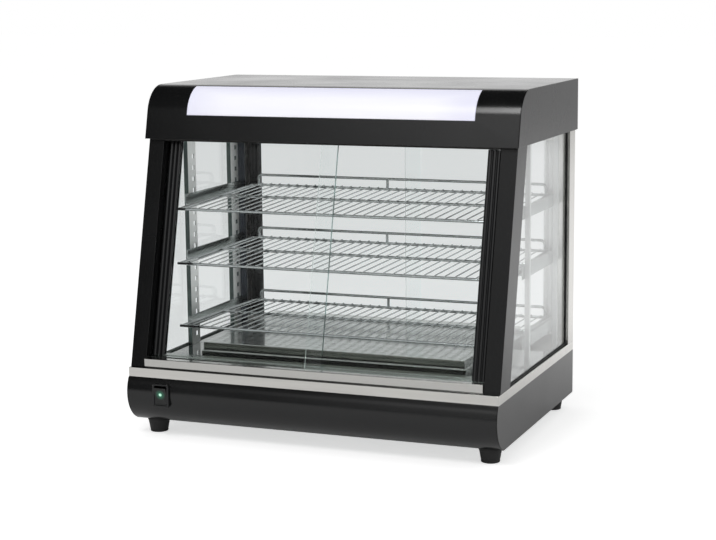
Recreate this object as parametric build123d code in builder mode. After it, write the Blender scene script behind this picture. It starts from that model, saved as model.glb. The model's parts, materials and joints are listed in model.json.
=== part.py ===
from build123d import *
import os
from math import atan, cos, degrees, radians, sin, sqrt

os.makedirs("parts", exist_ok=True)

# Heated display case for a counter, with glass on all sides and three wire shelves.
# Sizes are in millimetres. +X is to the right as seen from the front, +Y is towards
# the back and +Z is up. The origin is under the middle of the case, on the counter.

# Overall sizes
case_width = 660.0  # over the base, the deck and the pillars
case_depth = 457.0  # deck, from its front edge to its rear edge
foot_height = 26.0
base_height = 79.0  # underside of the base to the deck's edge
deck_height = 16.0
glazed_height = 383.0  # deck to canopy
canopy_height = 90.0
front_slope = 0.24  # how far the front leans back for each unit of height

# Sheet metal, seams and screws
sheet = 1.5  # painted steel
steel = 1.2  # stainless steel
flange = 12.0  # folded edge of a panel
seam = 0.3  # gap left at a seam or round an inlaid piece
screw_shank = 4.0
screw_hole = 4.4
screw_head = 8.0
screw_head_height = 2.2
screw_length = 7.0

# Base fascia
fascia_radius = 55.0
fascia_proud = 9.0  # bulge in front of the deck's edge
fascia_tuck = 3.0  # how far the full curve would reach below the base
vent_pitch = 12.0
vent_spacing = 60.0
vent_length = 40.0
vent_width = 4.0
pan_vent_rows = 8
pan_vent_columns = 5
back_vent_rows = 4
back_vent_columns = 3
back_screw_inset = 18.0
pan_screw_inset = 24.0  # end of a side's fold to its first screw

# Feet
foot_top = 39.0
foot_tip = 31.0
foot_inset_side = 29.0  # case side to foot centre
foot_inset_front = 50.0
foot_inset_rear = 32.0
foot_edge = 1.5
foot_recess = 13.0
foot_recess_depth = 14.0
bolt_shank = 5.0
bolt_hole = 5.5
bolt_head = 10.0
bolt_head_height = 4.0
bolt_nut = 8.0  # across flats
bolt_nut_height = 4.0

# Rocker switch on the fascia
switch_inset = 66.0  # case side to switch centre
bezel_width = 30.5
bezel_height = 40.0
bezel_proud = 4.0
bezel_corner = 3.0
bezel_skirt = 8.0  # depth of the bezel before it is curved to the fascia
rocker_width = 22.5
rocker_height = 31.18
rocker_front = 8.72  # pivot to the raised ends of the rocker
rocker_dip = 2.2  # hollow in the middle of the rocker's face
rocker_back = 8.0
rocker_back_height = 16.0
rocker_tilt = 8.0  # degrees from level, either way
rocker_side_gap = 0.3
rocker_end_gap = 0.3
rocker_pin = 3.0
pin_clearance = 0.05
pin_reach = 1.2
pivot_depth = 3.0  # behind the front of the fascia
housing_wall = 1.7
housing_depth = 34.0
lens_width = 10.0
lens_height = 6.0
lens_depth = 3.4
lens_rise = 3.0  # lens above the rocker's pivot

# Thermostat at the back of the base
thermostat_inset = 130.0  # case side to the middle of the knob
control_height = 40.0  # above the underside of the base
thermostat_width = 40.0
thermostat_depth = 28.0
bush_diameter = 10.0
bush_proud = 1.0
knob_shaft = 6.0
shaft_clearance = 0.05
shaft_reach = 16.0
knob_gap = 1.5
knob_diameter = 38.0
knob_skirt = 4.0
knob_grip = 30.0
knob_length = 18.0
knob_flutes = 12
knob_flute = 4.0
bulb_diameter = 6.0
bulb_length = 70.0
capillary = 2.0

# Cord gland at the back of the base
gland_inset = 80.0  # case side to the middle of the gland
gland_hex = 22.0
gland_hex_height = 6.0
gland_dome = 20.0
gland_dome_height = 10.0
gland_edge = 3.0
gland_thread = 15.6
gland_hole = 16.0
gland_thread_length = 12.0
gland_nut_height = 4.0
gland_bore = 8.0

# Front pillars and rear posts
pillar_width = 28.0
pillar_depth = 54.0
pillar_setback = 8.0  # deck's front edge to the foot of the pillar
pillar_wall = 2.0
post_depth = 35.0
post_wall = 1.5

# Glass and gaskets
glass = 5.0
gasket_width = 8.0
gasket_lip = 1.2  # gasket outside the edge of the pane
gasket_cover = 2.5  # gasket that shows beside a frame
side_glass_inset = 6.0  # case side to the outer face of the side pane
glass_entry = 8.0  # side pane inside the pillar and inside the post

# Sliding doors
track_height = 16.0
head_height = 18.0
track_front = 1.0  # pillar face to head track
track_depth = 47.0
sill_proud = 4.0  # upright face of the front sill in front of the pillar's foot
sill_rebate = 2.0  # shadow gap along the foot of the front sill
head_show = 4.0  # front head track below the canopy
rear_track_depth = 36.0
groove_depth = 8.0
head_groove_depth = 16.0
groove_clearance = 1.0
outer_lane = 8.0  # pillar face to the outer pane
lane_pitch = 16.0
rear_lane = 6.0  # rear track's inner face to the inner pane
door_rise = 0.5  # pane above the floor of its groove
head_entry = 6.0  # pane inside the head track
front_overlap = 12.0  # each front pane past the middle
rear_left_overlap = 45.0  # rear left pane past the middle
rear_right_overlap = -19.4  # rear right pane, which stops short of it
edge_width = 22.0
edge_depth = 13.0
edge_gap = 1.0  # edge profile to pillar, sill and head track
edge_groove = 16.0  # pane inside the profile
rib_groove = 2.5
rib_groove_depth = 1.5
rib_pitch = 6.0
rib_count = 3

# Shelf uprights and brackets
upright_sheet = 1.5
upright_depth = 31.5
upright_flange = 7.0
front_upright_gap = 46.4  # top of the pillar to the front upright
rear_upright_gap = 15.5  # rear upright to the rear post
slot_width = 8.0
slot_height = 8.0
slot_pitch = 20.1
slot_offset = 20.5  # front of the upright to the middle of its slots
lowest_slot = 18.6  # above the deck
slot_margin = 30.0  # least distance from the last slot to the canopy
bracket_leg = 30.0
bracket_rise = 16.5  # upright leg above the middle of its slots
bracket_drop = 5.0  # upright leg below the middle of its slots
bracket_lead = 13.0  # bracket in front of the front upright
bracket_rear_gap = 2.0  # bracket to the rear post
tab_clearance = 0.3
tab_reach = 1.2
bottom_level = 1  # slot that carries each shelf
middle_level = 7
top_level = 12

# Wire shelves
shelf_seat = 11.0  # bracket's inner edge to the shelf's side wire
shelf_lift = 12.0  # how far a shelf is raised to take it off its brackets
shelf_clearance = 3.0  # raised shelf to the nearest door
shelf_corner = 12.0
shelf_gap = 0.3  # shelf above its brackets
shelf_rise = 9.0  # shelf's rear wire above the middle of its slots
bottom_fall = -6.0  # how far each shelf's front lies below its rear
middle_fall = 4.0
top_fall = 9.0
bottom_shift = 7.0  # how far each shelf lies to the right on its brackets
middle_shift = 5.5
top_shift = 7.0
frame_wire = 5.0
front_wire_reach = 4.0  # front wire past the side wires
cross_wire = 5.0
long_wire = 2.2
wire_pitch = 18.0
wire_margin = 16.0  # least distance from the side wire to a long wire
weld = 0.6  # how far welded wires sink into each other
cross_inset = 141.0  # cross wire to the shelf's rear wire
rail_height = 19.0
rail_inset = 12.0  # shelf's side wire to the end of the rail
rail_corner = 8.0
rail_leg_shift = -18.0  # middle leg of the rail from the shelf's middle

# Heater on the floor of the case
cover_inset = 89.5  # case side to the cover, if it lay in the middle
cover_shift = 6.5  # how far the cover lies to the right
cover_front_gap = 88.0  # deck's front edge to the cover
cover_rear_gap = 57.0  # cover to the deck's rear edge
cover_height = 33.0
cover_step_height = 18.0
cover_step = 2.5
element_diameter = 8.0
element_height = 16.0
element_front_gap = 40.0  # cover's front to the element
element_rear_gap = 70.0  # element to the cover's rear
element_left_gap = 43.0  # cover's left end to the element's bends
element_right_gap = 23.0  # element's legs to the cover's right end
element_bend = 25.0
element_leg = 26.0  # below the deck's top
leg_bend = 12.0
leg_clearance = 0.3
clip_width = 10.0
clip_depth = 16.0
clip_roof = 3.0
clip_clearance = 0.15
clip_inset = 80.0  # each end of the element to a clip
bulb_gap = 20.0  # bulb to the cover's rear
bulb_height = 10.0
bulb_run = 75.0  # hole for the capillary tube to the middle of the bulb

# Canopy
canopy_side = 4.0  # past the case on each side
canopy_front_lip = 10.0  # in front of the pillars
canopy_rear_lip = 2.0
canopy_radius = 55.0
light_inset = 76.0  # canopy's side to the light panel
light_run = 7.0  # light panel on the straight part of the front
light_end = 15.0  # degrees from upright where the light panel ends on top
light_rim = 8.0  # rim of the panel behind the canopy's skin
light_rim_depth = 2.5
canopy_screw_inset = 54.0  # canopy's side to the first screw
canopy_screw_count = 5

# Lamp inside the canopy
lamp_inset = 8.0  # end of the light panel to the lamp
lamp_setback = 75.0  # canopy's front edge to the lamp bracket
lamp_leg = 15.0
lamp_height = 55.0
board_height = 18.0
board_thickness = 1.5
board_lift = 22.0
chip = 3.5
chip_height = 1.2
chip_count = 24

# Wiring inside the base
terminal_inset = 130.0  # case side to the terminal block
terminal_width = 50.0
terminal_rear_gap = 77.0  # terminal block to the deck's rear edge
terminal_depth = 20.0
terminal_height = 17.5
terminal_ways = 4
terminal_well = 6.0
terminal_well_depth = 9.0
lead_diameter = 4.0
lead_bend = 12.0
lead_hole = 8.0

# Heights
pan_top = foot_height + sheet
deck_low = foot_height + base_height
deck_top = deck_low + deck_height
canopy_low = deck_top + glazed_height
canopy_top = canopy_low + canopy_height
control_z = foot_height + control_height

# Depths: the switch is the foremost piece and the knob the rearmost
half_width = case_width / 2
tilt = radians(rocker_tilt)
rocker_reach = rocker_front * cos(tilt) + rocker_height / 2 * sin(tilt)
front_reach = fascia_proud - pivot_depth + rocker_reach
rear_reach = knob_gap + knob_length
deck_front = -(case_depth + rear_reach - front_reach) / 2
deck_rear = deck_front + case_depth
canopy_rear = deck_rear + canopy_rear_lip

# Fascia curve
fascia_y = deck_front - fascia_proud + fascia_radius
fascia_z = foot_height + fascia_radius - fascia_tuck
panel_half = half_width - sheet

# Slanted front
lean = atan(front_slope)
glass_run = glass / cos(lean)  # pane thickness along Y on the slanted front
front_lanes = {"right": outer_lane, "left": outer_lane + lane_pitch}
rear_track_front = deck_rear - rear_track_depth - sheet
rear_lanes = {"left": rear_track_front + rear_lane + lane_pitch, "right": rear_track_front + rear_lane}
opening_half = half_width - pillar_width
thermostat_x = half_width - thermostat_inset
gland_x = gland_inset - half_width
sides = {"left": -1, "right": 1}


def span(sign, near, far):
    """Range along X between two distances from the middle, on the given side."""
    return tuple(sorted((sign * near, sign * far)))


def front_y(depth, z):
    """Y at a depth behind the slanted front of the pillars, at height z."""
    return deck_front + pillar_setback + front_slope * (z - deck_top) + depth


def slanted(depths, heights):
    """Outline of a strip that leans back with the front, between two depths and two heights."""
    near, far = depths
    low, high = heights
    return [
        (front_y(near, low), low),
        (front_y(far, low), low),
        (front_y(far, high), high),
        (front_y(near, high), high),
    ]


def side_outline(depth, rear, heights):
    """Outline of a side pane, from the slanted front to an upright rear edge."""
    low, high = heights
    return [(front_y(depth, low), low), (rear, low), (rear, high), (front_y(depth, high), high)]


def fascia_point(z, inset):
    """Point of the fascia's curve at height z, drawn in by an inset."""
    radius = fascia_radius - inset
    return (fascia_y - sqrt(radius**2 - (z - fascia_z) ** 2), z)


def block(xs, ys, zs, mode=Mode.ADD):
    """Box between two values on each axis."""
    middle = tuple((low + high) / 2 for low, high in (xs, ys, zs))
    with Locations(middle):
        Box(xs[1] - xs[0], ys[1] - ys[0], zs[1] - zs[0], mode=mode)


def bar(xs, outline, mode=Mode.ADD):
    """Outline in Y and Z, extruded along X."""
    with BuildSketch(Plane.YZ.offset(xs[0])) as section:
        with BuildLine():
            Polyline(*outline, close=True)
        make_face()
    extrude(section.sketch, amount=xs[1] - xs[0], mode=mode)


def rod(center, diameter, length, axis, mode=Mode.ADD):
    """Round bar about a point, along X or Y or Z."""
    turns = {"x": (0, 90, 0), "y": (90, 0, 0), "z": (0, 0, 0)}
    with Locations(center):
        Cylinder(diameter / 2, length, rotation=turns[axis], mode=mode)


def tube(points, bend, diameter):
    """Round wire along straight runs joined by arcs."""
    with BuildLine() as route:
        FilletPolyline(*points, radius=bend)
    with BuildSketch(Plane(origin=route.line @ 0, z_dir=route.line % 0)) as section:
        Circle(diameter / 2)
    sweep(section.sketch, path=route.line)


def save(piece, name):
    """Label a finished piece and write it to its file."""
    piece.part.label = name
    export_step(piece.part, f"parts/{name}.step")


# Base fascia: a curved sheet with folded edges under the deck and over the pan
pan_front = fascia_point(foot_height, sheet)[0]
switch_x = -(half_width - switch_inset)
housing_half_width = rocker_width / 2 + rocker_side_gap + housing_wall
cavity_half_height = rocker_height / 2 * cos(tilt) + rocker_front * sin(tilt) + rocker_end_gap
housing_half_height = cavity_half_height + housing_wall / 2
foot_x = half_width - foot_inset_side
fascia_fold_half = foot_x - foot_top / 2

with BuildPart() as base_fascia:
    with BuildSketch(Plane.YZ.offset(-panel_half)):
        with BuildLine():
            ThreePointArc(
                fascia_point(deck_low, 0), fascia_point(fascia_z, 0), fascia_point(foot_height, 0)
            )
            Line(fascia_point(foot_height, 0), fascia_point(foot_height, sheet))
            ThreePointArc(
                fascia_point(foot_height, sheet),
                fascia_point(fascia_z, sheet),
                fascia_point(deck_low, sheet),
            )
            Line(fascia_point(deck_low, sheet), fascia_point(deck_low, 0))
        make_face()
    extrude(amount=2 * panel_half)
    top_fold = (fascia_point(deck_low, 0)[0] + fascia_point(deck_low, sheet)[0]) / 2
    low_fold = (fascia_point(pan_top, 0)[0] + fascia_point(pan_top, sheet)[0]) / 2
    block((-panel_half, panel_half), (top_fold, deck_front + flange), (deck_low - sheet, deck_low))
    block(
        (-fascia_fold_half, fascia_fold_half),
        (low_fold, pan_front + flange),
        (pan_top, pan_top + sheet),
    )
    block(
        (switch_x - housing_half_width - seam, switch_x + housing_half_width + seam),
        (fascia_y - fascia_radius - sheet, fascia_y),
        (fascia_z - housing_half_height - seam, fascia_z + housing_half_height + seam),
        mode=Mode.SUBTRACT,
    )
save(base_fascia, "base_fascia")

# Base sides: cheeks that follow the fascia's curve, with folds for the deck, the pan and the back
side_fold = (panel_half - flange, panel_half)
screw_x = panel_half - flange / 2
fold_front = deck_front + fascia_radius + flange
fold_rear = deck_rear - 2 * flange
pan_screw_ys = [
    fold_front + pan_screw_inset,
    (fold_front + fold_rear) / 2,
    fold_rear - pan_screw_inset,
]
back_screw_zs = [foot_height + back_screw_inset, deck_low - back_screw_inset]
for side, sign in sides.items():
    with BuildPart() as base_side:
        with BuildSketch(Plane.YZ.offset(span(sign, panel_half, half_width)[0])):
            with BuildLine():
                ThreePointArc(
                    fascia_point(deck_low, 0), fascia_point(fascia_z, 0), fascia_point(foot_height, 0)
                )
                Polyline(
                    fascia_point(foot_height, 0),
                    (deck_rear, foot_height),
                    (deck_rear, deck_low),
                    fascia_point(deck_low, 0),
                )
            make_face()
        extrude(amount=sheet)
        fold_xs = span(sign, *side_fold)
        block(fold_xs, (fold_front, fold_rear), (deck_low - sheet, deck_low))
        block(fold_xs, (fold_front, fold_rear), (pan_top, pan_top + sheet))
        block(
            fold_xs,
            (deck_rear - 2 * sheet, deck_rear - sheet),
            (foot_height + flange, deck_low - flange),
        )
        for y in pan_screw_ys:
            rod((sign * screw_x, y, pan_top), screw_hole, flange, "z", mode=Mode.SUBTRACT)
        for z in back_screw_zs:
            rod((sign * screw_x, deck_rear - sheet, z), screw_hole, flange, "y", mode=Mode.SUBTRACT)
    save(base_side, f"base_side_{side}")

# Base back panel, with vents and holes for the thermostat, the gland and the screws
back_face = Plane(origin=(0, deck_rear, 0), x_dir=(-1, 0, 0), z_dir=(0, 1, 0))
with BuildPart() as base_back_panel:
    back_half = panel_half - 3 * flange
    block((-panel_half, panel_half), (deck_rear - sheet, deck_rear), (foot_height, deck_low))
    for low in (pan_top, deck_low - sheet):
        block(
            (-back_half, back_half),
            (deck_rear - sheet - flange, deck_rear - sheet),
            (low, low + sheet),
        )
    with BuildSketch(back_face):
        with Locations((0, control_z)):
            with GridLocations(vent_spacing, vent_pitch, back_vent_columns, back_vent_rows):
                SlotOverall(vent_length, vent_width)
        with Locations((-thermostat_x, control_z)):
            Circle(bush_diameter / 2 + seam)
        with Locations((-gland_x, control_z)):
            Circle(gland_hole / 2)
        with Locations(*[(sign * screw_x, z) for sign in sides.values() for z in back_screw_zs]):
            Circle(screw_hole / 2)
    extrude(amount=-2 * sheet, mode=Mode.SUBTRACT)
save(base_back_panel, "base_back_panel")

# Base pan, with vents and holes for the foot bolts and the screws
foot_ys = (deck_front + foot_inset_front, deck_rear - foot_inset_rear)
foot_spots = [(x, y) for x in (-foot_x, foot_x) for y in foot_ys]
with BuildPart() as base_pan:
    block((-panel_half, panel_half), (pan_front, deck_rear - sheet), (foot_height, pan_top))
    with BuildSketch(Plane.XY.offset(foot_height)):
        with Locations((0, (deck_front + deck_rear) / 2)):
            with GridLocations(vent_spacing, vent_pitch, pan_vent_columns, pan_vent_rows):
                SlotOverall(vent_length, vent_width)
        with Locations(*foot_spots):
            Circle(bolt_hole / 2)
        with Locations(*[(sign * screw_x, y) for sign in sides.values() for y in pan_screw_ys]):
            Circle(screw_hole / 2)
    extrude(amount=sheet, mode=Mode.SUBTRACT)
save(base_pan, "base_pan")

# Screws of the base, with their heads outside
with BuildPart() as base_screws:
    for sign in sides.values():
        for y in pan_screw_ys:
            head_z = foot_height - screw_head_height / 2
            rod((sign * screw_x, y, head_z), screw_head, screw_head_height, "z")
            rod((sign * screw_x, y, foot_height + screw_length / 2), screw_shank, screw_length, "z")
        for z in back_screw_zs:
            head_y = deck_rear + screw_head_height / 2
            rod((sign * screw_x, head_y, z), screw_head, screw_head_height, "y")
            rod((sign * screw_x, deck_rear - screw_length / 2, z), screw_shank, screw_length, "y")
save(base_screws, "base_screws")

# Rubber feet, each with a recess for its bolt
foot_base = (Align.CENTER, Align.CENTER, Align.MIN)
with BuildPart() as feet:
    with Locations(*[(x, y, 0) for x, y in foot_spots]):
        Cone(foot_tip / 2, foot_top / 2, foot_height, align=foot_base)
    fillet(feet.edges().group_by(Axis.Z)[0], foot_edge)
    with Locations(*[(x, y, 0) for x, y in foot_spots]):
        Cylinder(foot_recess / 2, foot_recess_depth, align=foot_base, mode=Mode.SUBTRACT)
        Cylinder(bolt_hole / 2, foot_height, align=foot_base, mode=Mode.SUBTRACT)
save(feet, "feet")

# Foot bolts, each with its nut on the pan
bolt_head_low = foot_recess_depth - bolt_head_height
bolt_top = pan_top + bolt_nut_height + 2 * sheet
with BuildPart() as foot_bolts:
    with Locations(*[(x, y, bolt_head_low) for x, y in foot_spots]):
        Cylinder(bolt_head / 2, bolt_head_height, align=foot_base)
        Cylinder(bolt_shank / 2, bolt_top - bolt_head_low, align=foot_base)
    with BuildSketch(Plane.XY.offset(pan_top)):
        with Locations(*foot_spots):
            RegularPolygon(bolt_nut / 2, 6, major_radius=False)
    extrude(amount=bolt_nut_height)
save(foot_bolts, "foot_bolts")

# Rocker switch: a bezel curved to the fascia, and the housing behind it
pivot_y = fascia_y - fascia_radius + pivot_depth
bezel_front = fascia_y - fascia_radius - bezel_proud
housing_rear = bezel_front + housing_depth
switch_point = (switch_x, pivot_y, fascia_z)
with BuildPart() as switch_body:
    block(
        (switch_x - bezel_width / 2, switch_x + bezel_width / 2),
        (bezel_front, bezel_front + bezel_skirt),
        (fascia_z - bezel_height / 2, fascia_z + bezel_height / 2),
    )
    fillet(switch_body.edges().filter_by(Axis.Y), bezel_corner)
    rod(
        (switch_x, fascia_y, fascia_z),
        2 * fascia_radius + seam,
        2 * bezel_width,
        "x",
        mode=Mode.SUBTRACT,
    )
    block(
        (switch_x - housing_half_width, switch_x + housing_half_width),
        (bezel_front, housing_rear),
        (fascia_z - housing_half_height, fascia_z + housing_half_height),
    )
    block(
        (
            switch_x - rocker_width / 2 - rocker_side_gap,
            switch_x + rocker_width / 2 + rocker_side_gap,
        ),
        (bezel_front, housing_rear - housing_wall),
        (fascia_z - cavity_half_height, fascia_z + cavity_half_height),
        mode=Mode.SUBTRACT,
    )
    rod(
        switch_point,
        rocker_pin + 2 * pin_clearance,
        rocker_width + 2 * (pin_reach + pin_clearance),
        "x",
        mode=Mode.SUBTRACT,
    )
save(switch_body, "switch_body")


def tilted(points):
    """Points of the rocker, given about its pivot and turned to where it rests."""
    return [
        (
            pivot_y + y * cos(tilt) - z * sin(tilt),
            fascia_z + y * sin(tilt) + z * cos(tilt),
        )
        for y, z in points
    ]


# Rocker, with a pocket for its lens and a pin at each end of its pivot
lens_face = rocker_dip - rocker_front
lens_span = (switch_x - lens_width / 2, switch_x + lens_width / 2)
lens_low = lens_rise - lens_height / 2
lens_high = lens_rise + lens_height / 2
with BuildPart() as switch_rocker:
    bar(
        (switch_x - rocker_width / 2, switch_x + rocker_width / 2),
        tilted(
            [
                (-rocker_front, rocker_height / 2),
                (lens_face, 0),
                (-rocker_front, -rocker_height / 2),
                (rocker_back, -rocker_back_height / 2),
                (rocker_back, rocker_back_height / 2),
            ]
        ),
    )
    rod(switch_point, rocker_pin, rocker_width + 2 * pin_reach, "x")
    bar(
        lens_span,
        tilted(
            [
                (-rocker_front, lens_high),
                (-rocker_front, lens_low),
                (lens_face + lens_depth, lens_low),
                (lens_face + lens_depth, lens_high),
            ]
        ),
        mode=Mode.SUBTRACT,
    )
save(switch_rocker, "switch_rocker")

# Lens in the rocker, above its pivot
with BuildPart() as switch_lens:
    bar(
        lens_span,
        tilted(
            [
                (lens_face, lens_high),
                (lens_face, lens_low),
                (lens_face + lens_depth, lens_low),
                (lens_face + lens_depth, lens_high),
            ]
        ),
    )
save(switch_lens, "switch_lens")

# Deck: a stainless tray turned over, with holes for the heater, the thermostat and the lamp lead
cover_half_width = half_width - cover_inset
cover_ys = (deck_front + cover_front_gap, deck_rear - cover_rear_gap)
element_right = cover_half_width - element_right_gap
element_left = element_left_gap - cover_half_width
element_ys = (cover_ys[0] + element_front_gap, cover_ys[1] - element_rear_gap)
leg_spots = [(element_right, y) for y in element_ys]
capillary_x = thermostat_x - thermostat_width / 4
bulb_y = cover_ys[1] - bulb_gap
lamp_lead_spot = (pillar_width / 2 - half_width, deck_rear - post_depth / 2)
with BuildPart() as deck:
    block((-half_width, half_width), (deck_front, deck_rear), (deck_low, deck_top))
    block(
        (-half_width + steel, half_width - steel),
        (deck_front + steel, deck_rear - steel),
        (deck_low, deck_top - steel),
        mode=Mode.SUBTRACT,
    )
    with BuildSketch(Plane.XY.offset(deck_top)):
        with Locations(*leg_spots):
            Circle(element_diameter / 2 + leg_clearance)
        with Locations((capillary_x, bulb_y)):
            Circle(capillary / 2 + leg_clearance)
        with Locations(lamp_lead_spot):
            Circle(lead_hole / 2)
    extrude(amount=-2 * steel, mode=Mode.SUBTRACT)
save(deck, "deck")

# Front pillars: leaning box sections, slotted behind for the side pane's gasket
pane_outer = half_width - side_glass_inset
pane_inner = pane_outer - glass
gasket_inner = (pane_inner + pane_outer - gasket_width) / 2
gasket_outer = gasket_inner + gasket_width
full_height = (deck_top, canopy_low)
for side, sign in sides.items():
    with BuildPart() as front_pillar:
        bar(span(sign, opening_half, half_width), slanted((0, pillar_depth), full_height))
        bar(
            span(sign, opening_half + pillar_wall, half_width - pillar_wall),
            slanted((pillar_wall, pillar_depth - pillar_wall), full_height),
            mode=Mode.SUBTRACT,
        )
        bar(
            span(sign, gasket_inner, gasket_outer),
            slanted((pillar_depth - 2 * pillar_wall, pillar_depth + pillar_wall), full_height),
            mode=Mode.SUBTRACT,
        )
    save(front_pillar, f"front_pillar_{side}")

# Rear posts: upright box sections, slotted in front for the side pane's gasket
post_front = deck_rear - post_depth
for side, sign in sides.items():
    with BuildPart() as rear_post:
        block(span(sign, opening_half, half_width), (post_front, deck_rear), full_height)
        block(
            span(sign, opening_half + post_wall, half_width - post_wall),
            (post_front + post_wall, deck_rear - post_wall),
            full_height,
            mode=Mode.SUBTRACT,
        )
        block(
            span(sign, gasket_inner, gasket_outer),
            (post_front - post_wall, post_front + 2 * post_wall),
            full_height,
            mode=Mode.SUBTRACT,
        )
    save(rear_post, f"rear_post_{side}")

# Side panes and the gaskets round their edges
pane_depth = pillar_depth - glass_entry
pane_rear = post_front + glass_entry
pane_heights = (deck_top + gasket_lip, canopy_low - gasket_lip)
cover_heights = (deck_top + gasket_cover, canopy_low - gasket_cover)
for side, sign in sides.items():
    pane_outline = side_outline(pane_depth, pane_rear, pane_heights)
    with BuildPart() as side_glass:
        bar(span(sign, pane_inner, pane_outer), pane_outline)
    save(side_glass, f"side_glass_{side}")
    with BuildPart() as side_gasket:
        gasket_xs = span(sign, gasket_inner, gasket_outer)
        bar(gasket_xs, side_outline(pane_depth - gasket_lip, pane_rear + gasket_lip, full_height))
        bar(
            gasket_xs,
            side_outline(pillar_depth + gasket_cover / 2, post_front - gasket_cover, cover_heights),
            mode=Mode.SUBTRACT,
        )
        bar(span(sign, pane_inner, pane_outer), pane_outline, mode=Mode.SUBTRACT)
    save(side_gasket, f"side_gasket_{side}")

# Sill and head tracks of the front doors, with a groove for each pane. The sill has an upright face
# with a rebate along its foot, and most of the head track is let into the canopy.
opening = (-opening_half, opening_half)
sill_top = deck_top + track_height
sill_floor = sill_top - groove_depth
front_track = (track_front, track_front + track_depth)
front_head = (canopy_low - head_show, canopy_low - head_show + head_height)
front_head_roof = front_head[0] + head_groove_depth
with BuildPart() as front_sill_track:
    sill_face = front_y(-sill_proud, deck_top)
    rebate_top = deck_top + sill_rebate
    bar(
        opening,
        [
            (sill_face + sill_rebate, deck_top),
            (front_y(front_track[1], deck_top), deck_top),
            (front_y(front_track[1], sill_top), sill_top),
            (sill_face, sill_top),
            (sill_face, rebate_top),
            (sill_face + sill_rebate, rebate_top),
        ],
    )
    for lane in front_lanes.values():
        groove = (lane - groove_clearance, lane + glass_run + groove_clearance)
        bar(opening, slanted(groove, (sill_floor, sill_top)), mode=Mode.SUBTRACT)
save(front_sill_track, "front_sill_track")

with BuildPart() as front_head_track:
    bar(opening, slanted(front_track, front_head))
    for lane in front_lanes.values():
        groove = (lane - groove_clearance, lane + glass_run + groove_clearance)
        bar(opening, slanted(groove, (front_head[0], front_head_roof)), mode=Mode.SUBTRACT)
save(front_head_track, "front_head_track")

# Sill and head tracks of the rear doors, with the head track under the ceiling
rear_track = (rear_track_front, rear_track_front + rear_track_depth)
rear_head = (canopy_low - head_height, canopy_low)
rear_head_roof = rear_head[0] + head_groove_depth
with BuildPart() as rear_sill_track:
    block(opening, rear_track, (deck_top, sill_top))
    for lane in rear_lanes.values():
        groove = (lane - groove_clearance, lane + glass + groove_clearance)
        block(opening, groove, (sill_floor, sill_top), mode=Mode.SUBTRACT)
save(rear_sill_track, "rear_sill_track")

with BuildPart() as rear_head_track:
    block(opening, rear_track, rear_head)
    for lane in rear_lanes.values():
        groove = (lane - groove_clearance, lane + glass + groove_clearance)
        block(opening, groove, (rear_head[0], rear_head_roof), mode=Mode.SUBTRACT)
save(rear_head_track, "rear_head_track")

# Doors: each is a pane in its own lane, with a ribbed profile on its outer edge as a pull
edge_far = opening_half - edge_gap
edge_near = edge_far - edge_width
pane_far = edge_near + edge_groove
first_rib = edge_near + (edge_width - (rib_count - 1) * rib_pitch) / 2
ribs = [first_rib + index * rib_pitch for index in range(rib_count)]


def upright_outline(depths, heights):
    """Outline of a rear door's strip."""
    near, far = depths
    low, high = heights
    return [(near, low), (far, low), (far, high), (near, high)]


front_overlaps = {"left": front_overlap, "right": front_overlap}
rear_overlaps = {"left": rear_left_overlap, "right": rear_right_overlap}
door_sets = [
    ("front", front_lanes, front_overlaps, front_head[0], glass_run, slanted),
    ("rear", rear_lanes, rear_overlaps, rear_head[0], glass, upright_outline),
]
for place, lanes, overlaps, head_low, pane_run, outline in door_sets:
    door_heights = (sill_floor + door_rise, head_low + head_entry)
    edge_heights = (sill_top + edge_gap, head_low - edge_gap)
    for side, sign in sides.items():
        lane = lanes[side]
        pane_strip = outline((lane, lane + pane_run), door_heights)
        with BuildPart() as door_glass:
            bar(span(sign, -overlaps[side], pane_far), pane_strip)
        save(door_glass, f"{place}_door_glass_{side}")
        middle = lane + pane_run / 2
        edge = (middle - edge_depth / 2, middle + edge_depth / 2)
        with BuildPart() as door_edge:
            bar(span(sign, edge_near, edge_far), outline(edge, edge_heights))
            bar(span(sign, edge_near, pane_far), pane_strip, mode=Mode.SUBTRACT)
            for rib in ribs:
                rib_xs = span(sign, rib - rib_groove / 2, rib + rib_groove / 2)
                for face in (edge[0], edge[1] - rib_groove_depth):
                    strip = outline((face, face + rib_groove_depth), edge_heights)
                    bar(rib_xs, strip, mode=Mode.SUBTRACT)
        save(door_edge, f"{place}_door_edge_{side}")

# Shelf uprights: slotted angles that stand between the deck and the canopy
upright_x = gasket_inner - upright_flange
web = (upright_x - upright_sheet, upright_x)
upright_places = {
    "front": front_y(pillar_depth, canopy_low) + front_upright_gap,
    "rear": post_front - rear_upright_gap - upright_depth,
}
slot_count = 1 + int((glazed_height - lowest_slot - slot_margin) / slot_pitch)
slot_zs = [deck_top + lowest_slot + index * slot_pitch for index in range(slot_count)]
for place, front in upright_places.items():
    slot_y = front + slot_offset
    flange_ys = (front, front + upright_sheet)
    for side, sign in sides.items():
        web_x = sign * (upright_x - upright_sheet / 2)
        with BuildPart() as shelf_upright:
            block(span(sign, *web), (front, front + upright_depth), full_height)
            block(span(sign, upright_x, upright_x + upright_flange), flange_ys, full_height)
            with Locations(*[(web_x, slot_y, z) for z in slot_zs]):
                Box(2 * upright_sheet, slot_width, slot_height, mode=Mode.SUBTRACT)
        save(shelf_upright, f"shelf_upright_{place}_{side}")

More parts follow.
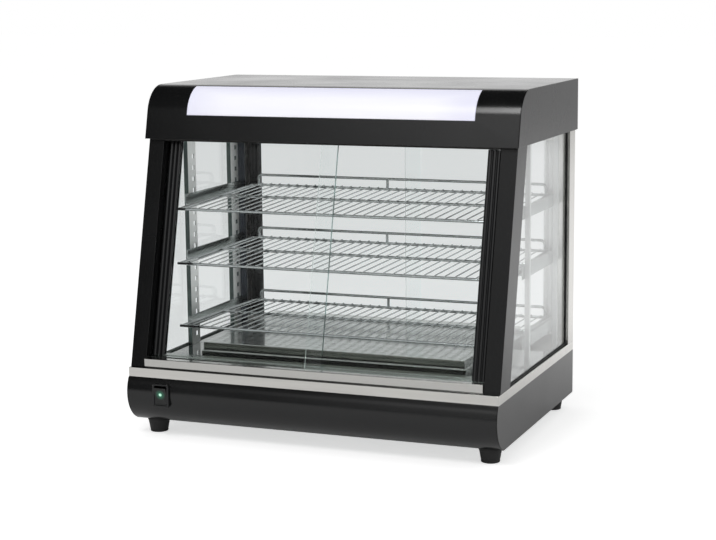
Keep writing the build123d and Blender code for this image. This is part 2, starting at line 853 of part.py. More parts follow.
# Shelf levels, and where the shelves lie between the doors. Each shelf leans on its brackets.
levels = {
    "bottom": slot_zs[bottom_level],
    "middle": slot_zs[middle_level],
    "top": slot_zs[top_level],
}
falls = {"bottom": bottom_fall, "middle": middle_fall, "top": top_fall}
raised_front = levels["top"] + shelf_rise - top_fall + frame_wire + shelf_lift
front_door_rear = front_y(max(front_lanes.values()) + (glass_run + edge_depth) / 2, raised_front)
rear_door_front = min(rear_lanes.values()) + (glass - edge_depth) / 2
shelf_margin = shelf_clearance + frame_wire / 2
shelf_front = front_door_rear + shelf_margin
shelf_rear = rear_door_front - shelf_margin
slopes = {level: fall / (shelf_rear - shelf_front) for level, fall in falls.items()}


def seat_z(level, y):
    """Height of a bracket's top at a given Y, just under the side wire of its shelf."""
    wire_low = (frame_wire / 2 + shelf_gap) * sqrt(1 + slopes[level] ** 2)
    return levels[level] + shelf_rise - slopes[level] * (shelf_rear - y) - wire_low


# Shelf brackets: a pair of angles for each level. The upright leg is level, with tabs through the
# slots of the uprights, and the other leg follows the shelf.
bracket_far = web[0]
bracket_near = bracket_far - bracket_leg
bracket_ys = (
    upright_places["front"] - bracket_lead,
    post_front - bracket_rear_gap,
)
tab_rise = slot_height / 2 - tab_clearance
tab_half = slot_width / 2 - tab_clearance
for level, slot_z in levels.items():
    seats = [(y, seat_z(level, y)) for y in bracket_ys]
    leg_outline = seats + [(y, z - upright_sheet) for y, z in reversed(seats)]
    with BuildPart() as shelf_brackets:
        for sign in sides.values():
            upright_xs = span(sign, bracket_far - upright_sheet, bracket_far)
            bar(span(sign, bracket_near, bracket_far), leg_outline)
            block(upright_xs, bracket_ys, (slot_z - bracket_drop, slot_z + bracket_rise))
            for front in upright_places.values():
                tab_y = front + slot_offset
                block(
                    span(sign, bracket_far - upright_sheet, upright_x + tab_reach),
                    (tab_y - tab_half, tab_y + tab_half),
                    (slot_z - tab_rise, slot_z + tab_rise),
                )
    save(shelf_brackets, f"shelf_brackets_{level}")

# Wire shelves: a bent frame closed by a straight front wire, wires from front to back across it,
# and a raised rail behind. Each shelf is drawn level, then turned about its rear wire to its lean.
shelf_shifts = {"bottom": bottom_shift, "middle": middle_shift, "top": top_shift}
shelf_half_width = bracket_near + shelf_seat
rail_half_width = shelf_half_width - rail_inset
wire_count = 1 + 2 * int((shelf_half_width - wire_margin) / wire_pitch)
wire_length = shelf_rear - shelf_front + frame_wire / 2
long_lift = (frame_wire + long_wire) / 2 - weld
cross_lift = long_lift - (cross_wire + long_wire) / 2 + weld
for level, slot_z in levels.items():
    wire_z = slot_z + shelf_rise
    rail_z = wire_z + rail_height
    shift = shelf_shifts[level]
    frame_xs = (shift - shelf_half_width, shift + shelf_half_width)
    rail_xs = (shift - rail_half_width, shift + rail_half_width)
    side_end = shelf_front + frame_wire / 2 - weld
    with BuildPart() as shelf:
        tube(
            [
                (frame_xs[0], side_end, wire_z),
                (frame_xs[0], shelf_rear, wire_z),
                (frame_xs[1], shelf_rear, wire_z),
                (frame_xs[1], side_end, wire_z),
            ],
            shelf_corner,
            frame_wire,
        )
        front_length = 2 * (shelf_half_width + front_wire_reach)
        rod((shift, shelf_front, wire_z), frame_wire, front_length, "x")
        cross_place = (shift, shelf_rear - cross_inset, wire_z + cross_lift)
        cross_length = 2 * (shelf_half_width - frame_wire / 2 + weld)
        rod(cross_place, cross_wire, cross_length, "x")
        with Locations((shift, (shelf_front + shelf_rear) / 2, wire_z + long_lift)):
            with GridLocations(wire_pitch, wire_pitch, wire_count, 1):
                Cylinder(long_wire / 2, wire_length, rotation=(90, 0, 0))
        tube(
            [
                (rail_xs[0], shelf_rear, wire_z),
                (rail_xs[0], shelf_rear, rail_z),
                (rail_xs[1], shelf_rear, rail_z),
                (rail_xs[1], shelf_rear, wire_z),
            ],
            rail_corner,
            cross_wire,
        )
        leg_length = rail_height - cross_wire / 2 + weld
        leg_place = (shift + rail_leg_shift, shelf_rear, wire_z + leg_length / 2)
        rod(leg_place, cross_wire, leg_length, "z")
    rear_wire = Axis((0, shelf_rear, wire_z), (1, 0, 0))
    shelf.part = shelf.part.rotate(rear_wire, degrees(atan(slopes[level])))
    save(shelf, f"shelf_{level}")

# Heater cover: a stepped stainless box, open underneath
cover_top = deck_top + cover_height
step_top = deck_top + cover_step_height
with BuildPart() as heater_cover:
    for wall, mode in ((0, Mode.ADD), (steel, Mode.SUBTRACT)):
        half = cover_half_width - wall
        low_xs = (cover_shift - half, cover_shift + half)
        low_ys = (cover_ys[0] + wall, cover_ys[1] - wall)
        high_xs = (low_xs[0] + cover_step, low_xs[1] - cover_step)
        high_ys = (low_ys[0] + cover_step, low_ys[1] - cover_step)
        block(low_xs, low_ys, (deck_top, step_top - wall), mode=mode)
        block(high_xs, high_ys, (deck_top, cover_top - wall), mode=mode)
save(heater_cover, "heater_cover")

# Heating element: one bent tube whose two legs go down through the deck
element_z = deck_top + element_height
leg_low = deck_top - element_leg
with BuildPart() as heating_element:
    tube(
        [
            (*leg_spots[0], leg_low),
            (*leg_spots[0], element_z),
            (element_left, leg_spots[0][1], element_z),
            (element_left, leg_spots[1][1], element_z),
            (*leg_spots[1], element_z),
            (*leg_spots[1], leg_low),
        ],
        [leg_bend, element_bend, element_bend, leg_bend],
        element_diameter,
    )
save(heating_element, "heating_element")

# Clips that hold the element and the thermostat's bulb above the deck
bulb_z = deck_top + bulb_height
bulb_clip_x = capillary_x - bulb_run
with BuildPart() as element_clips:
    clip_spots = [
        (x, y, element_z, element_diameter)
        for x in (element_left + clip_inset, element_right - clip_inset)
        for y in element_ys
    ]
    clip_spots.append((bulb_clip_x, bulb_y, bulb_z, bulb_diameter))
    for x, y, z, held in clip_spots:
        block(
            (x - clip_width / 2, x + clip_width / 2),
            (y - clip_depth / 2, y + clip_depth / 2),
            (deck_top, z + held / 2 + clip_roof),
        )
        rod((x, y, z), held + 2 * clip_clearance, 2 * clip_width, "x", mode=Mode.SUBTRACT)
save(element_clips, "element_clips")

# Thermostat: its body behind the back panel, with a bush for the knob's shaft
body_rear = deck_rear - sheet
body_front = body_rear - thermostat_depth
control_face = back_face.offset(-sheet)
with BuildPart() as thermostat_body:
    block(
        (thermostat_x - thermostat_width / 2, thermostat_x + thermostat_width / 2),
        (body_front, body_rear),
        (control_z - thermostat_width / 2, control_z + thermostat_width / 2),
    )
    with BuildSketch(control_face):
        with Locations((-thermostat_x, control_z)):
            Circle(bush_diameter / 2)
    extrude(amount=sheet + bush_proud)
    shaft_bore = shaft_reach + bush_proud + sheet
    rod(
        (thermostat_x, deck_rear + bush_proud - shaft_bore / 2, control_z),
        knob_shaft + 2 * shaft_clearance,
        shaft_bore,
        "y",
        mode=Mode.SUBTRACT,
    )
save(thermostat_body, "thermostat_body")

# Thermostat knob: skirt, fluted grip and shaft
knob_low = deck_rear + knob_gap
with BuildPart() as thermostat_knob:
    with BuildSketch(back_face.offset(knob_gap)):
        with Locations((-thermostat_x, control_z)):
            Circle(knob_diameter / 2)
    extrude(amount=knob_skirt)
    with BuildSketch(back_face.offset(knob_gap)):
        with Locations((-thermostat_x, control_z)):
            Circle(knob_grip / 2)
            with PolarLocations(knob_grip / 2 + knob_flute / 4, knob_flutes):
                Circle(knob_flute / 2, mode=Mode.SUBTRACT)
    extrude(amount=knob_length)
    shaft_length = shaft_reach + knob_gap
    rod((thermostat_x, knob_low - shaft_length / 2, control_z), knob_shaft, shaft_length, "y")
save(thermostat_knob, "thermostat_knob")

# Thermostat bulb under the heater cover, on its capillary tube
with BuildPart() as thermostat_bulb:
    bulb_right = bulb_clip_x + bulb_length / 2
    tube(
        [
            (capillary_x, body_front, control_z + thermostat_width / 4),
            (capillary_x, bulb_y + 2 * lead_bend, control_z + thermostat_width / 4),
            (capillary_x, bulb_y, control_z + thermostat_width),
            (capillary_x, bulb_y, bulb_z),
            (bulb_right, bulb_y, bulb_z),
        ],
        lead_bend / 2,
        capillary,
    )
    rod((bulb_clip_x, bulb_y, bulb_z), bulb_diameter, bulb_length, "x")
save(thermostat_bulb, "thermostat_bulb")

# Cord gland: dome nut and hexagon outside, thread through the panel, nut inside
with BuildPart() as cord_gland:
    spot = (-gland_x, control_z)
    with BuildSketch(back_face):
        with Locations(spot):
            RegularPolygon(gland_hex / 2, 6, major_radius=False)
    extrude(amount=gland_hex_height)
    with BuildSketch(back_face.offset(gland_hex_height)):
        with Locations(spot):
            Circle(gland_dome / 2)
    extrude(amount=gland_dome_height)
    fillet(cord_gland.edges().sort_by(Axis.Y)[-1], gland_edge)
    with BuildSketch(back_face.offset(-gland_thread_length)):
        with Locations(spot):
            Circle(gland_thread / 2)
    extrude(amount=gland_thread_length)
    with BuildSketch(control_face.offset(-gland_nut_height)):
        with Locations(spot):
            RegularPolygon(gland_hex / 2, 6, major_radius=False)
    extrude(amount=gland_nut_height)
    gland_length = gland_thread_length + gland_hex_height + gland_dome_height
    rod((gland_x, deck_rear, control_z), gland_bore, 2 * gland_length, "y", mode=Mode.SUBTRACT)
save(cord_gland, "cord_gland")

# Terminal block on the pan, with a screw well for each way
terminal_left = terminal_inset - half_width
terminal_rear = deck_rear - terminal_rear_gap
terminal_ys = (terminal_rear - terminal_depth, terminal_rear)
terminal_pitch = terminal_width / terminal_ways
way_xs = [terminal_left + (index + 0.5) * terminal_pitch for index in range(terminal_ways)]
terminal_top = pan_top + terminal_height
with BuildPart() as terminal_block:
    block((terminal_left, terminal_left + terminal_width), terminal_ys, (pan_top, terminal_top))
    with Locations(*[(x, sum(terminal_ys) / 2, terminal_top) for x in way_xs]):
        Cylinder(terminal_well / 2, 2 * terminal_well_depth, mode=Mode.SUBTRACT)
save(terminal_block, "terminal_block")

# Canopy curve: a leaning front that turns into the flat top round one arc
canopy_front = front_y(0, canopy_low) - canopy_front_lip
skin_run = sqrt(1 + front_slope**2)  # shift along Y for each unit of inset on the leaning front
curve_z = canopy_top - canopy_radius
curve_y = canopy_front + front_slope * (curve_z - canopy_low) + canopy_radius * skin_run
lean_turn = 90 - degrees(lean)  # from upright round to the leaning front's normal
canopy_half = half_width + canopy_side
skin_half = canopy_half - sheet
light_half_width = canopy_half - light_inset


def curve_point(turn, inset):
    """Point on the canopy's arc, at an angle in degrees from upright, drawn in by an inset."""
    radius = canopy_radius - inset
    return (curve_y - radius * sin(radians(turn)), curve_z + radius * cos(radians(turn)))


def canopy_section(xs, inset, rear, low, mode=Mode.ADD):
    """Solid under the canopy's curve, drawn in by an inset on its front and top."""
    foot = (canopy_front + front_slope * (low - canopy_low) + inset * skin_run, low)
    top = curve_point(0, inset)
    with BuildSketch(Plane.YZ.offset(xs[0])) as section:
        with BuildLine():
            Line(foot, curve_point(lean_turn, inset))
            ThreePointArc(curve_point(lean_turn, inset), curve_point(lean_turn / 2, inset), top)
            Polyline(top, (rear, top[1]), (rear, low), foot)
        make_face()
    extrude(section.sketch, amount=xs[1] - xs[0], mode=mode)


def light_band(half, insets, margin, mode=Mode.ADD):
    """Band of the canopy's front curve where the light panel lies, between two insets."""
    end = light_end - degrees(margin / canopy_radius)
    middle = (lean_turn + end) / 2
    run = light_run + margin
    starts = []
    for inset in insets:
        y, z = curve_point(lean_turn, inset)
        starts.append((y - run * sin(lean), z - run * cos(lean)))
    with BuildSketch(Plane.YZ.offset(-half)) as section:
        with BuildLine():
            for start, inset in zip(starts, insets):
                Line(start, curve_point(lean_turn, inset))
                ThreePointArc(
                    curve_point(lean_turn, inset), curve_point(middle, inset), curve_point(end, inset)
                )
            Line(*starts)
            Line(curve_point(end, insets[0]), curve_point(end, insets[1]))
        make_face()
    extrude(section.sketch, amount=2 * half, mode=mode)


# Canopy shell, with the opening for the light panel
with BuildPart() as canopy_shell:
    canopy_section((-skin_half, skin_half), 0, canopy_rear, canopy_low)
    canopy_section((-skin_half, skin_half), sheet, canopy_rear, canopy_low, mode=Mode.SUBTRACT)
    light_band(light_half_width, (-sheet, 2 * sheet), 0, mode=Mode.SUBTRACT)
save(canopy_shell, "canopy_shell")

# Canopy end cheeks
for side, sign in sides.items():
    with BuildPart() as canopy_end:
        canopy_section(span(sign, skin_half, canopy_half), 0, canopy_rear, canopy_low)
    save(canopy_end, f"canopy_end_{side}")

# Light panel: flush in the canopy's skin, with a rim behind it
with BuildPart() as light_panel:
    light_band(light_half_width - seam, (0, sheet + seam), -seam)
    light_band(light_half_width + light_rim, (sheet + seam / 2, sheet + light_rim_depth), light_rim)
save(light_panel, "light_panel")

# Canopy back and ceiling, screwed together along a fold. The ceiling is slotted for the head track.
canopy_screw_z = canopy_low + sheet + flange / 2
screw_first = canopy_screw_inset - canopy_half
canopy_screw_pitch = -2 * screw_first / (canopy_screw_count - 1)
canopy_screw_xs = [screw_first + index * canopy_screw_pitch for index in range(canopy_screw_count)]
with BuildPart() as canopy_back:
    block((-skin_half, skin_half), (canopy_rear - sheet, canopy_rear), (canopy_low, canopy_top - sheet))
    for x in canopy_screw_xs:
        rod((x, canopy_rear, canopy_screw_z), screw_hole, flange, "y", mode=Mode.SUBTRACT)
save(canopy_back, "canopy_back")

ceiling_top = canopy_low + sheet
ceiling_front = canopy_front + sheet * skin_run + front_slope * sheet
with BuildPart() as canopy_ceiling:
    block((-skin_half, skin_half), (ceiling_front, canopy_rear - sheet), (canopy_low, ceiling_top))
    bar(opening, slanted(front_track, (canopy_low, ceiling_top)), mode=Mode.SUBTRACT)
    block(
        (-opening_half, opening_half),
        (canopy_rear - 2 * sheet, canopy_rear - sheet),
        (ceiling_top, ceiling_top + flange),
    )
    for x in canopy_screw_xs:
        rod((x, canopy_rear, canopy_screw_z), screw_hole, flange, "y", mode=Mode.SUBTRACT)
    rod((*lamp_lead_spot, canopy_low), lead_hole, flange, "z", mode=Mode.SUBTRACT)
save(canopy_ceiling, "canopy_ceiling")

with BuildPart() as canopy_screws:
    for x in canopy_screw_xs:
        head_y = canopy_rear + screw_head_height / 2
        rod((x, head_y, canopy_screw_z), screw_head, screw_head_height, "y")
        rod((x, canopy_rear - screw_length / 2, canopy_screw_z), screw_shank, screw_length, "y")
save(canopy_screws, "canopy_screws")

# Lamp: an angle on the ceiling that carries a row of chips on a board
lamp_half_width = light_half_width - lamp_inset
lamp_y = canopy_front + lamp_setback
with BuildPart() as lamp_bracket:
    block(
        (-lamp_half_width, lamp_half_width),
        (lamp_y, lamp_y + lamp_leg),
        (ceiling_top, ceiling_top + sheet),
    )
    block(
        (-lamp_half_width, lamp_half_width),
        (lamp_y, lamp_y + sheet),
        (ceiling_top, ceiling_top + lamp_height),
    )
save(lamp_bracket, "lamp_bracket")

board_low = ceiling_top + board_lift
with BuildPart() as lamp_board:
    block(
        (-lamp_half_width, lamp_half_width),
        (lamp_y - board_thickness, lamp_y),
        (board_low, board_low + board_height),
    )
    chip_y = lamp_y - board_thickness - chip_height / 2
    with Locations((0, chip_y, board_low + board_height / 2)):
        with GridLocations(2 * lamp_half_width / chip_count, chip, chip_count, 1):
            Box(chip, chip_height, chip)
save(lamp_board, "lamp_board")

# Leads: switch to terminals, terminals to thermostat, element and lamp
lead_low = pan_top + lead_diameter / 2 + seam
way_z = pan_top + terminal_height / 2
front_face_y, rear_face_y = terminal_ys
lead_y = front_face_y - 4 * lead_bend
lamp_x, lamp_lead_rear = lamp_lead_spot
lamp_lead_z = ceiling_top + lead_diameter / 2 + seam
bracket_rear = lamp_y + sheet
contact_x = thermostat_x + thermostat_width / 4
contact_z = control_z - thermostat_width / 4
leg_bend_z = deck_low - 3 * lead_bend
routes = [
    [
        (switch_x, housing_rear, fascia_z),
        (switch_x, housing_rear + 4 * lead_bend, fascia_z),
        (switch_x, housing_rear + 10 * lead_bend, lead_low),
        (way_xs[0], lead_y, way_z),
        (way_xs[0], front_face_y, way_z),
    ],
    [
        (way_xs[3], front_face_y, way_z),
        (way_xs[3], front_face_y - 3 * lead_bend, way_z),
        (capillary_x, front_face_y - 3 * lead_bend, way_z),
        (capillary_x, body_front - 2 * lead_bend, contact_z),
        (capillary_x, body_front, contact_z),
    ],
    [
        (contact_x, body_front, control_z + thermostat_width / 4),
        (contact_x, body_front - 3 * lead_bend, control_z + thermostat_width / 4),
        (*leg_spots[1], leg_bend_z),
        (*leg_spots[1], leg_low),
    ],
    [
        (way_xs[2], front_face_y, way_z),
        (way_xs[2], front_face_y - 6 * lead_bend, way_z),
        (leg_spots[0][0], leg_spots[0][1] + 3 * lead_bend, leg_bend_z),
        (*leg_spots[0], leg_bend_z),
        (*leg_spots[0], leg_low),
    ],
    [
        (way_xs[1], rear_face_y, way_z),
        (way_xs[1], rear_face_y + 2 * lead_bend, way_z),
        (lamp_x, lamp_lead_rear, control_z),
        (lamp_x, lamp_lead_rear, ceiling_top + 2 * lead_bend),
        (lamp_x, lamp_lead_rear - 6 * lead_bend, lamp_lead_z),
        (lamp_x, lamp_y + 8 * lead_bend, lamp_lead_z),
        (2 * lead_bend - lamp_half_width, lamp_y + 4 * lead_bend, board_low),
        (2 * lead_bend - lamp_half_width, bracket_rear, board_low),
    ],
]
with BuildPart() as internal_leads:
    for route in routes:
        tube(route, lead_bend, lead_diameter)
save(internal_leads, "internal_leads")
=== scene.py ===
import json
import math

import bmesh
import bpy
from mathutils import Matrix, Vector


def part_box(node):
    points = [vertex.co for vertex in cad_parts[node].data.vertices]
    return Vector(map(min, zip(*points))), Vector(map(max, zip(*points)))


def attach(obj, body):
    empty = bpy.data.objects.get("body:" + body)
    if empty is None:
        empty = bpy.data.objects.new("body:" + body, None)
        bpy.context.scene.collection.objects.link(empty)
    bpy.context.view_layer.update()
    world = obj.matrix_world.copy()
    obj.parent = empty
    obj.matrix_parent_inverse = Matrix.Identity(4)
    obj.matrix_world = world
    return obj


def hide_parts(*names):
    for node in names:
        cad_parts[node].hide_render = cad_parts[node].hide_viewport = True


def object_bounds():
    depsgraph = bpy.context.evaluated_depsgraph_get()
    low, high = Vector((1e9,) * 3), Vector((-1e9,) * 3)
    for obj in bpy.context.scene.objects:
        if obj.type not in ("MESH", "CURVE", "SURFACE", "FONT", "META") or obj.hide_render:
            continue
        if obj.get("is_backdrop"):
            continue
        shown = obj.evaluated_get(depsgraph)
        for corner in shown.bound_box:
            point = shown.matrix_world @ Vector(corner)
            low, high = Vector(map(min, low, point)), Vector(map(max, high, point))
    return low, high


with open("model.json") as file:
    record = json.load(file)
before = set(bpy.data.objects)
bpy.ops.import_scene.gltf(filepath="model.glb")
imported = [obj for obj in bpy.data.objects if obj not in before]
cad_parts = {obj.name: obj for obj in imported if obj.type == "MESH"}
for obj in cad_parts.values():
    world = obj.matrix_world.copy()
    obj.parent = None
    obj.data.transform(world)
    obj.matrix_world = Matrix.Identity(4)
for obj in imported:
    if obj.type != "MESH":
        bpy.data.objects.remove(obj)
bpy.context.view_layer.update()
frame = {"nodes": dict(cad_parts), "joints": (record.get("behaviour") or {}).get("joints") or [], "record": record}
nodes = frame["nodes"]
record = frame["record"]
slot_of = {row["node"]: row["material_slot"] for row in record["subparts"]}
body_of = {node: body for body, members in record["behaviour"]["bodies"].items() for node in members}
joint_of = {joint["name"]: joint for joint in frame["joints"]}

# Image frame of the camera, in pixels
IMAGE_WIDTH = 716
IMAGE_HEIGHT = 540

# Camera, fitted to the straight edges of the case: place in metres, turns in degrees, lengths in pixels
CAMERA_PLACE = Vector((1.1153, -2.79905, 0.7702))
CAMERA_PITCH = -9.66
CAMERA_TURN = 21.81
CAMERA_ROLL = 0.62
CAMERA_FOCUS = 1747.6
CAMERA_CENTRE = (354.2, 277.0)
SENSOR_WIDTH = 36.0

# Light: strengths
AMBIENT = 0.50  # soft light from all round
STUDIO_DARK = 0.02  # what a mirror shows of the unlit studio at the front left and above
STUDIO_PALE = 0.60  # the same of the pale wall at the front right
STUDIO_BRIGHT = 1.40  # the same of the upper part of that wall
FLOOR_GLOW = 0.58  # how far the floor is lifted towards white for the eye
MIRROR_GLOW = 0.12  # the same in a mirror, in front and beside the case
BACK_GLOW = 0.60  # the same in a mirror, behind the case
THROUGH_GLASS = 0.69  # background as it shows through the panes

# Studio as a mirror shows it: parts of a direction's unit vector between which one look turns into the next
BACKDROP_DEPTH = (-0.30, 0.05)
BACKDROP_TOP = (0.30, 0.60)
WALL_SIDE = (-0.46, -0.30)
WALL_BRIGHT = (0.29, 0.35)
WALL_TOP = (0.42, 0.55)

# Floor, in metres: half its width, and the places along Y between which one look turns into the next
FLOOR_REACH = 20.0
FLOOR_CORNERS = ((-1, -1), (1, -1), (1, 1), (-1, 1))
FLOOR_DARK = (-2.0, -1.5)
BRIGHT_START = (0.2, 1.0)
BRIGHT_END = (4.6, 6.0)

# Lamps: place and width in metres, power in watts
LAMP_TARGET = (0, 0, 0.3)
LAMPS = {
    "key_lamp": {"place": (-0.2, -2.2, 2.65), "size": 1.0, "watts": 30},
    "side_lamp": {"place": (2.6, 0.6, 1.6), "size": 1.4, "watts": 8},
}

finishes = {}


class Nodes:
    """Short calls that build up a node tree."""

    def __init__(self, tree):
        self.tree = tree
        tree.nodes.clear()

    def node(self, kind, values=None, **settings):
        """New node, with its settings and with each input set to a value or joined to a socket."""
        node = self.tree.nodes.new(kind)
        for key, value in settings.items():
            setattr(node, key, value)
        for key, value in (values or {}).items():
            if isinstance(value, bpy.types.NodeSocket):
                self.join(value, node.inputs[key])
            else:
                node.inputs[key].default_value = value
        return node

    def join(self, source, target):
        self.tree.links.new(source, target)

    def ramp(self, source, start, stop, low, high):
        """Map a value from one range to another, held at its ends."""
        values = {"Value": source, 1: start, 2: stop, 3: low, 4: high}
        return self.node("ShaderNodeMapRange", values).outputs[0]

    def math(self, operation, *terms):
        return self.node("ShaderNodeMath", dict(enumerate(terms)), operation=operation).outputs[0]

    def blend(self, factor, first, second):
        """Value between two values."""
        return self.node("ShaderNodeMix", {0: factor, 2: first, 3: second}).outputs[0]

    def tint(self, factor, first, second):
        """Colour between two colours."""
        values = {0: factor}
        for index, colour in ((6, first), (7, second)):
            values[index] = (*colour, 1.0) if isinstance(colour, tuple) else colour
        return self.node("ShaderNodeMix", values, data_type="RGBA").outputs[2]

    def split(self, source):
        """X, Y and Z of a vector."""
        return self.node("ShaderNodeSeparateXYZ", {0: source}).outputs


class Finish(Nodes):
    """Material with one Principled shader, kept under its name in finishes."""

    def __init__(self, name):
        self.material = bpy.data.materials.new(name)
        self.material.use_nodes = True
        finishes[name] = self.material
        super().__init__(self.material.node_tree)
        self.output = self.node("ShaderNodeOutputMaterial")
        self.shader = self.node("ShaderNodeBsdfPrincipled")
        self.join(self.shader.outputs[0], self.output.inputs["Surface"])
        self.place = self.node("ShaderNodeTexCoord").outputs["Object"]
        self.facing = self.node("ShaderNodeNewGeometry").outputs["Normal"]

    def set(self, **values):
        """Set or join inputs of the shader, named with underscores for spaces."""
        for key, value in values.items():
            socket = self.shader.inputs[key.replace("_", " ")]
            if isinstance(value, bpy.types.NodeSocket):
                self.join(value, socket)
            elif isinstance(value, tuple):
                socket.default_value = (*value, 1.0)
            else:
                socket.default_value = value

    def noise(self, scale, stretch=(1, 1, 1), detail=3.0, roughness=0.55):
        """Noise over the object's own place, stretched along its axes."""
        mapping = self.node("ShaderNodeMapping", {"Vector": self.place, "Scale": stretch})
        values = {"Vector": mapping.outputs[0], "Scale": scale, "Detail": detail, "Roughness": roughness}
        return self.node("ShaderNodeTexNoise", values).outputs[0]

    def brush_lines(self, stretch):
        """Fine lines, long along the axis with the smallest stretch."""
        return self.noise(2600.0, stretch=stretch, detail=4.0, roughness=0.7)

    def bump(self, height, distance):
        """Relief of a given depth in metres."""
        relief = self.node("ShaderNodeBump", {"Height": height, "Distance": distance})
        self.join(relief.outputs[0], self.shader.inputs["Normal"])

    def distance_from(self, point):
        """Distance of each place on the surface from a point."""
        values = {0: self.place, 1: tuple(point)}
        return self.node("ShaderNodeVectorMath", values, operation="DISTANCE").outputs["Value"]


def black_paint(name, first, second, rough, shine=0.5):
    """Black powder coat: orange peel, patches of duller coat and a few light specks."""
    paint = Finish(name)
    cloud = paint.noise(7.0)
    peel = paint.noise(650.0, detail=2.0)
    speck = paint.ramp(paint.noise(1400.0, detail=0.0), 0.74, 0.8, 0.0, 1.0)
    paint.set(
        Base_Color=paint.tint(speck, paint.tint(cloud, first, second), (0.04, 0.04, 0.04)),
        Roughness=paint.ramp(cloud, 0.3, 0.7, *rough),
        Specular_IOR_Level=shine,
    )
    paint.bump(peel, 0.00004)


def brushed(name, light, dark, stretch, rough, depth):
    """Metal with fine brush lines and duller patches."""
    metal = Finish(name)
    lines = metal.brush_lines(stretch)
    cloud = metal.noise(6.0)
    shine = metal.ramp(lines, 0.3, 0.7, *rough)
    metal.set(
        Base_Color=metal.tint(metal.ramp(lines, 0.25, 0.75, 0.0, 1.0), dark, light),
        Metallic=1.0,
        Roughness=metal.math("ADD", shine, metal.ramp(cloud, 0.3, 0.7, -0.04, 0.04)),
    )
    metal.bump(lines, depth)


def part_shaded(metal, share, light, dark, shaded, stretch, rough, depth):
    """Give a metal brush lines, and painted shade, a dark colour, on a share of its surface."""
    lines = metal.brush_lines(stretch)
    shade = metal.tint(metal.ramp(lines, 0.25, 0.75, 0.0, 1.0), dark, light)
    metal.set(
        Base_Color=metal.tint(share, shade, shaded),
        Metallic=1.0,
        Roughness=metal.ramp(lines, 0.3, 0.7, *rough),
    )
    metal.bump(lines, depth)


def paint_front_shade(name, light, dark, front, rough):
    """Upright brushed metal with painted shade on its faces towards the front."""
    metal = Finish(name)
    # Faces towards the front get the painted shade
    forward = metal.ramp(metal.split(metal.facing)["Y"], -0.9, -0.5, 1.0, 0.0)
    part_shaded(metal, forward, light, dark, front, ALONG_Z, rough, 0.000002)


def grooved_track(name, light, dark, groove, rough):
    """Brushed aluminium of the front sill track, with painted shade in its grooves."""
    metal = Finish(name)
    # Deeper than a given place along Y, in the grooves, the track takes the painted shade
    inside = metal.ramp(metal.split(metal.place)["Y"], *SILL_GROOVE_START, 0.0, 1.0)
    part_shaded(metal, inside, light, dark, groove, ALONG_X, rough, 0.000003)


def floor_steel(name, light, dark, shaded, axis, sign, rough):
    """Stainless steel inside the case: streaks along the brush lines, and painted shade on its flat faces on one
    side.
    """
    steel = Finish(name)
    lines = steel.brush_lines(ALONG_X)
    streak = steel.ramp(steel.noise(160.0, stretch=(0.03, 1, 1)), 0.3, 0.7, 0.0, 1.0)
    toward = steel.math("MULTIPLY", steel.split(steel.facing)[axis], sign)
    # Flat faces on the given side take the painted shade
    side = steel.ramp(toward, 0.95, 0.995, 0.0, 1.0)
    shade = steel.tint(steel.math("MULTIPLY", streak, lines), light, dark)
    steel.set(
        Base_Color=steel.tint(side, shade, steel.tint(streak, *shaded)),
        Metallic=1.0,
        Roughness=steel.ramp(lines, 0.3, 0.7, *rough),
    )
    steel.bump(lines, 0.000001)


def chrome_wire():
    """Bright plating with a little haze and dull patches."""
    wire = Finish("chrome_wire")
    haze = wire.noise(60.0)
    shine = wire.ramp(haze, 0.3, 0.7, 0.04, 0.08)
    patch = wire.ramp(wire.noise(9.0), 0.4, 0.7, 0, 0.05)
    wire.set(
        Base_Color=wire.tint(haze, (0.36, 0.385, 0.385), (0.52, 0.54, 0.54)),
        Metallic=1.0,
        Roughness=wire.math("ADD", shine, patch),
    )


def clear_glass(name, across, cut, bend, glow=0.0):
    """Clear glass with a given colour on its cut edges, which is painted light on the pale-edged panes, painted
    shade on the dark-edged pane and the glass's own green on the side panes, and a painted glow on those edges; it
    lets lamps light what is behind it.
    """
    glass = Finish(name)
    smear = glass.noise(11.0)
    facing = glass.math("ABSOLUTE", glass.split(glass.facing)[across])
    face = glass.tint(smear, (0.965, 0.985, 0.985), (0.978, 0.992, 0.990))
    flat = glass.ramp(facing, 0.6, 0.9, 0.0, 1.0)
    glass.set(
        Base_Color=glass.tint(flat, cut, face),
        # Painted glow on the cut edges
        Emission_Color=glass.tint(flat, (0.86, 1.0, 0.95), (0.0, 0.0, 0.0)),
        Emission_Strength=glow,
        Roughness=0.0,
        IOR=bend,
        Transmission_Weight=1.0,
    )
    clear = glass.node("ShaderNodeBsdfTransparent", {"Color": (0.93, 0.96, 0.95, 1.0)})
    path = glass.node("ShaderNodeLightPath").outputs
    sides = {0: path["Is Shadow Ray"], 1: glass.shader.outputs[0], 2: clear.outputs[0]}
    mixed = glass.node("ShaderNodeMixShader", sides)
    glass.join(mixed.outputs[0], glass.output.inputs["Surface"])


def black_plastic(name, stretch, scale, rough):
    """Black plastic, with a moulded grain or with drawn lines along the axis with the smallest stretch."""
    plastic = Finish(name)
    cloud = plastic.noise(20.0)
    grain = plastic.noise(scale, stretch=stretch, detail=1.0)
    plastic.set(
        Base_Color=plastic.tint(cloud, (0.0060, 0.0064, 0.0070), (0.0105, 0.0110, 0.0118)),
        Roughness=plastic.ramp(cloud, 0.3, 0.7, *rough),
    )
    plastic.bump(grain, 0.00002)


def dull_rubber(name, first, second):
    """Dull rubber with a fine grain and a grey bloom."""
    rubber = Finish(name)
    bloom = rubber.noise(40.0)
    grain = rubber.noise(1500.0, detail=2.0)
    rubber.set(
        Base_Color=rubber.tint(bloom, first, second),
        Roughness=rubber.ramp(bloom, 0.3, 0.7, 0.55, 0.75),
    )
    rubber.bump(grain, 0.00005)


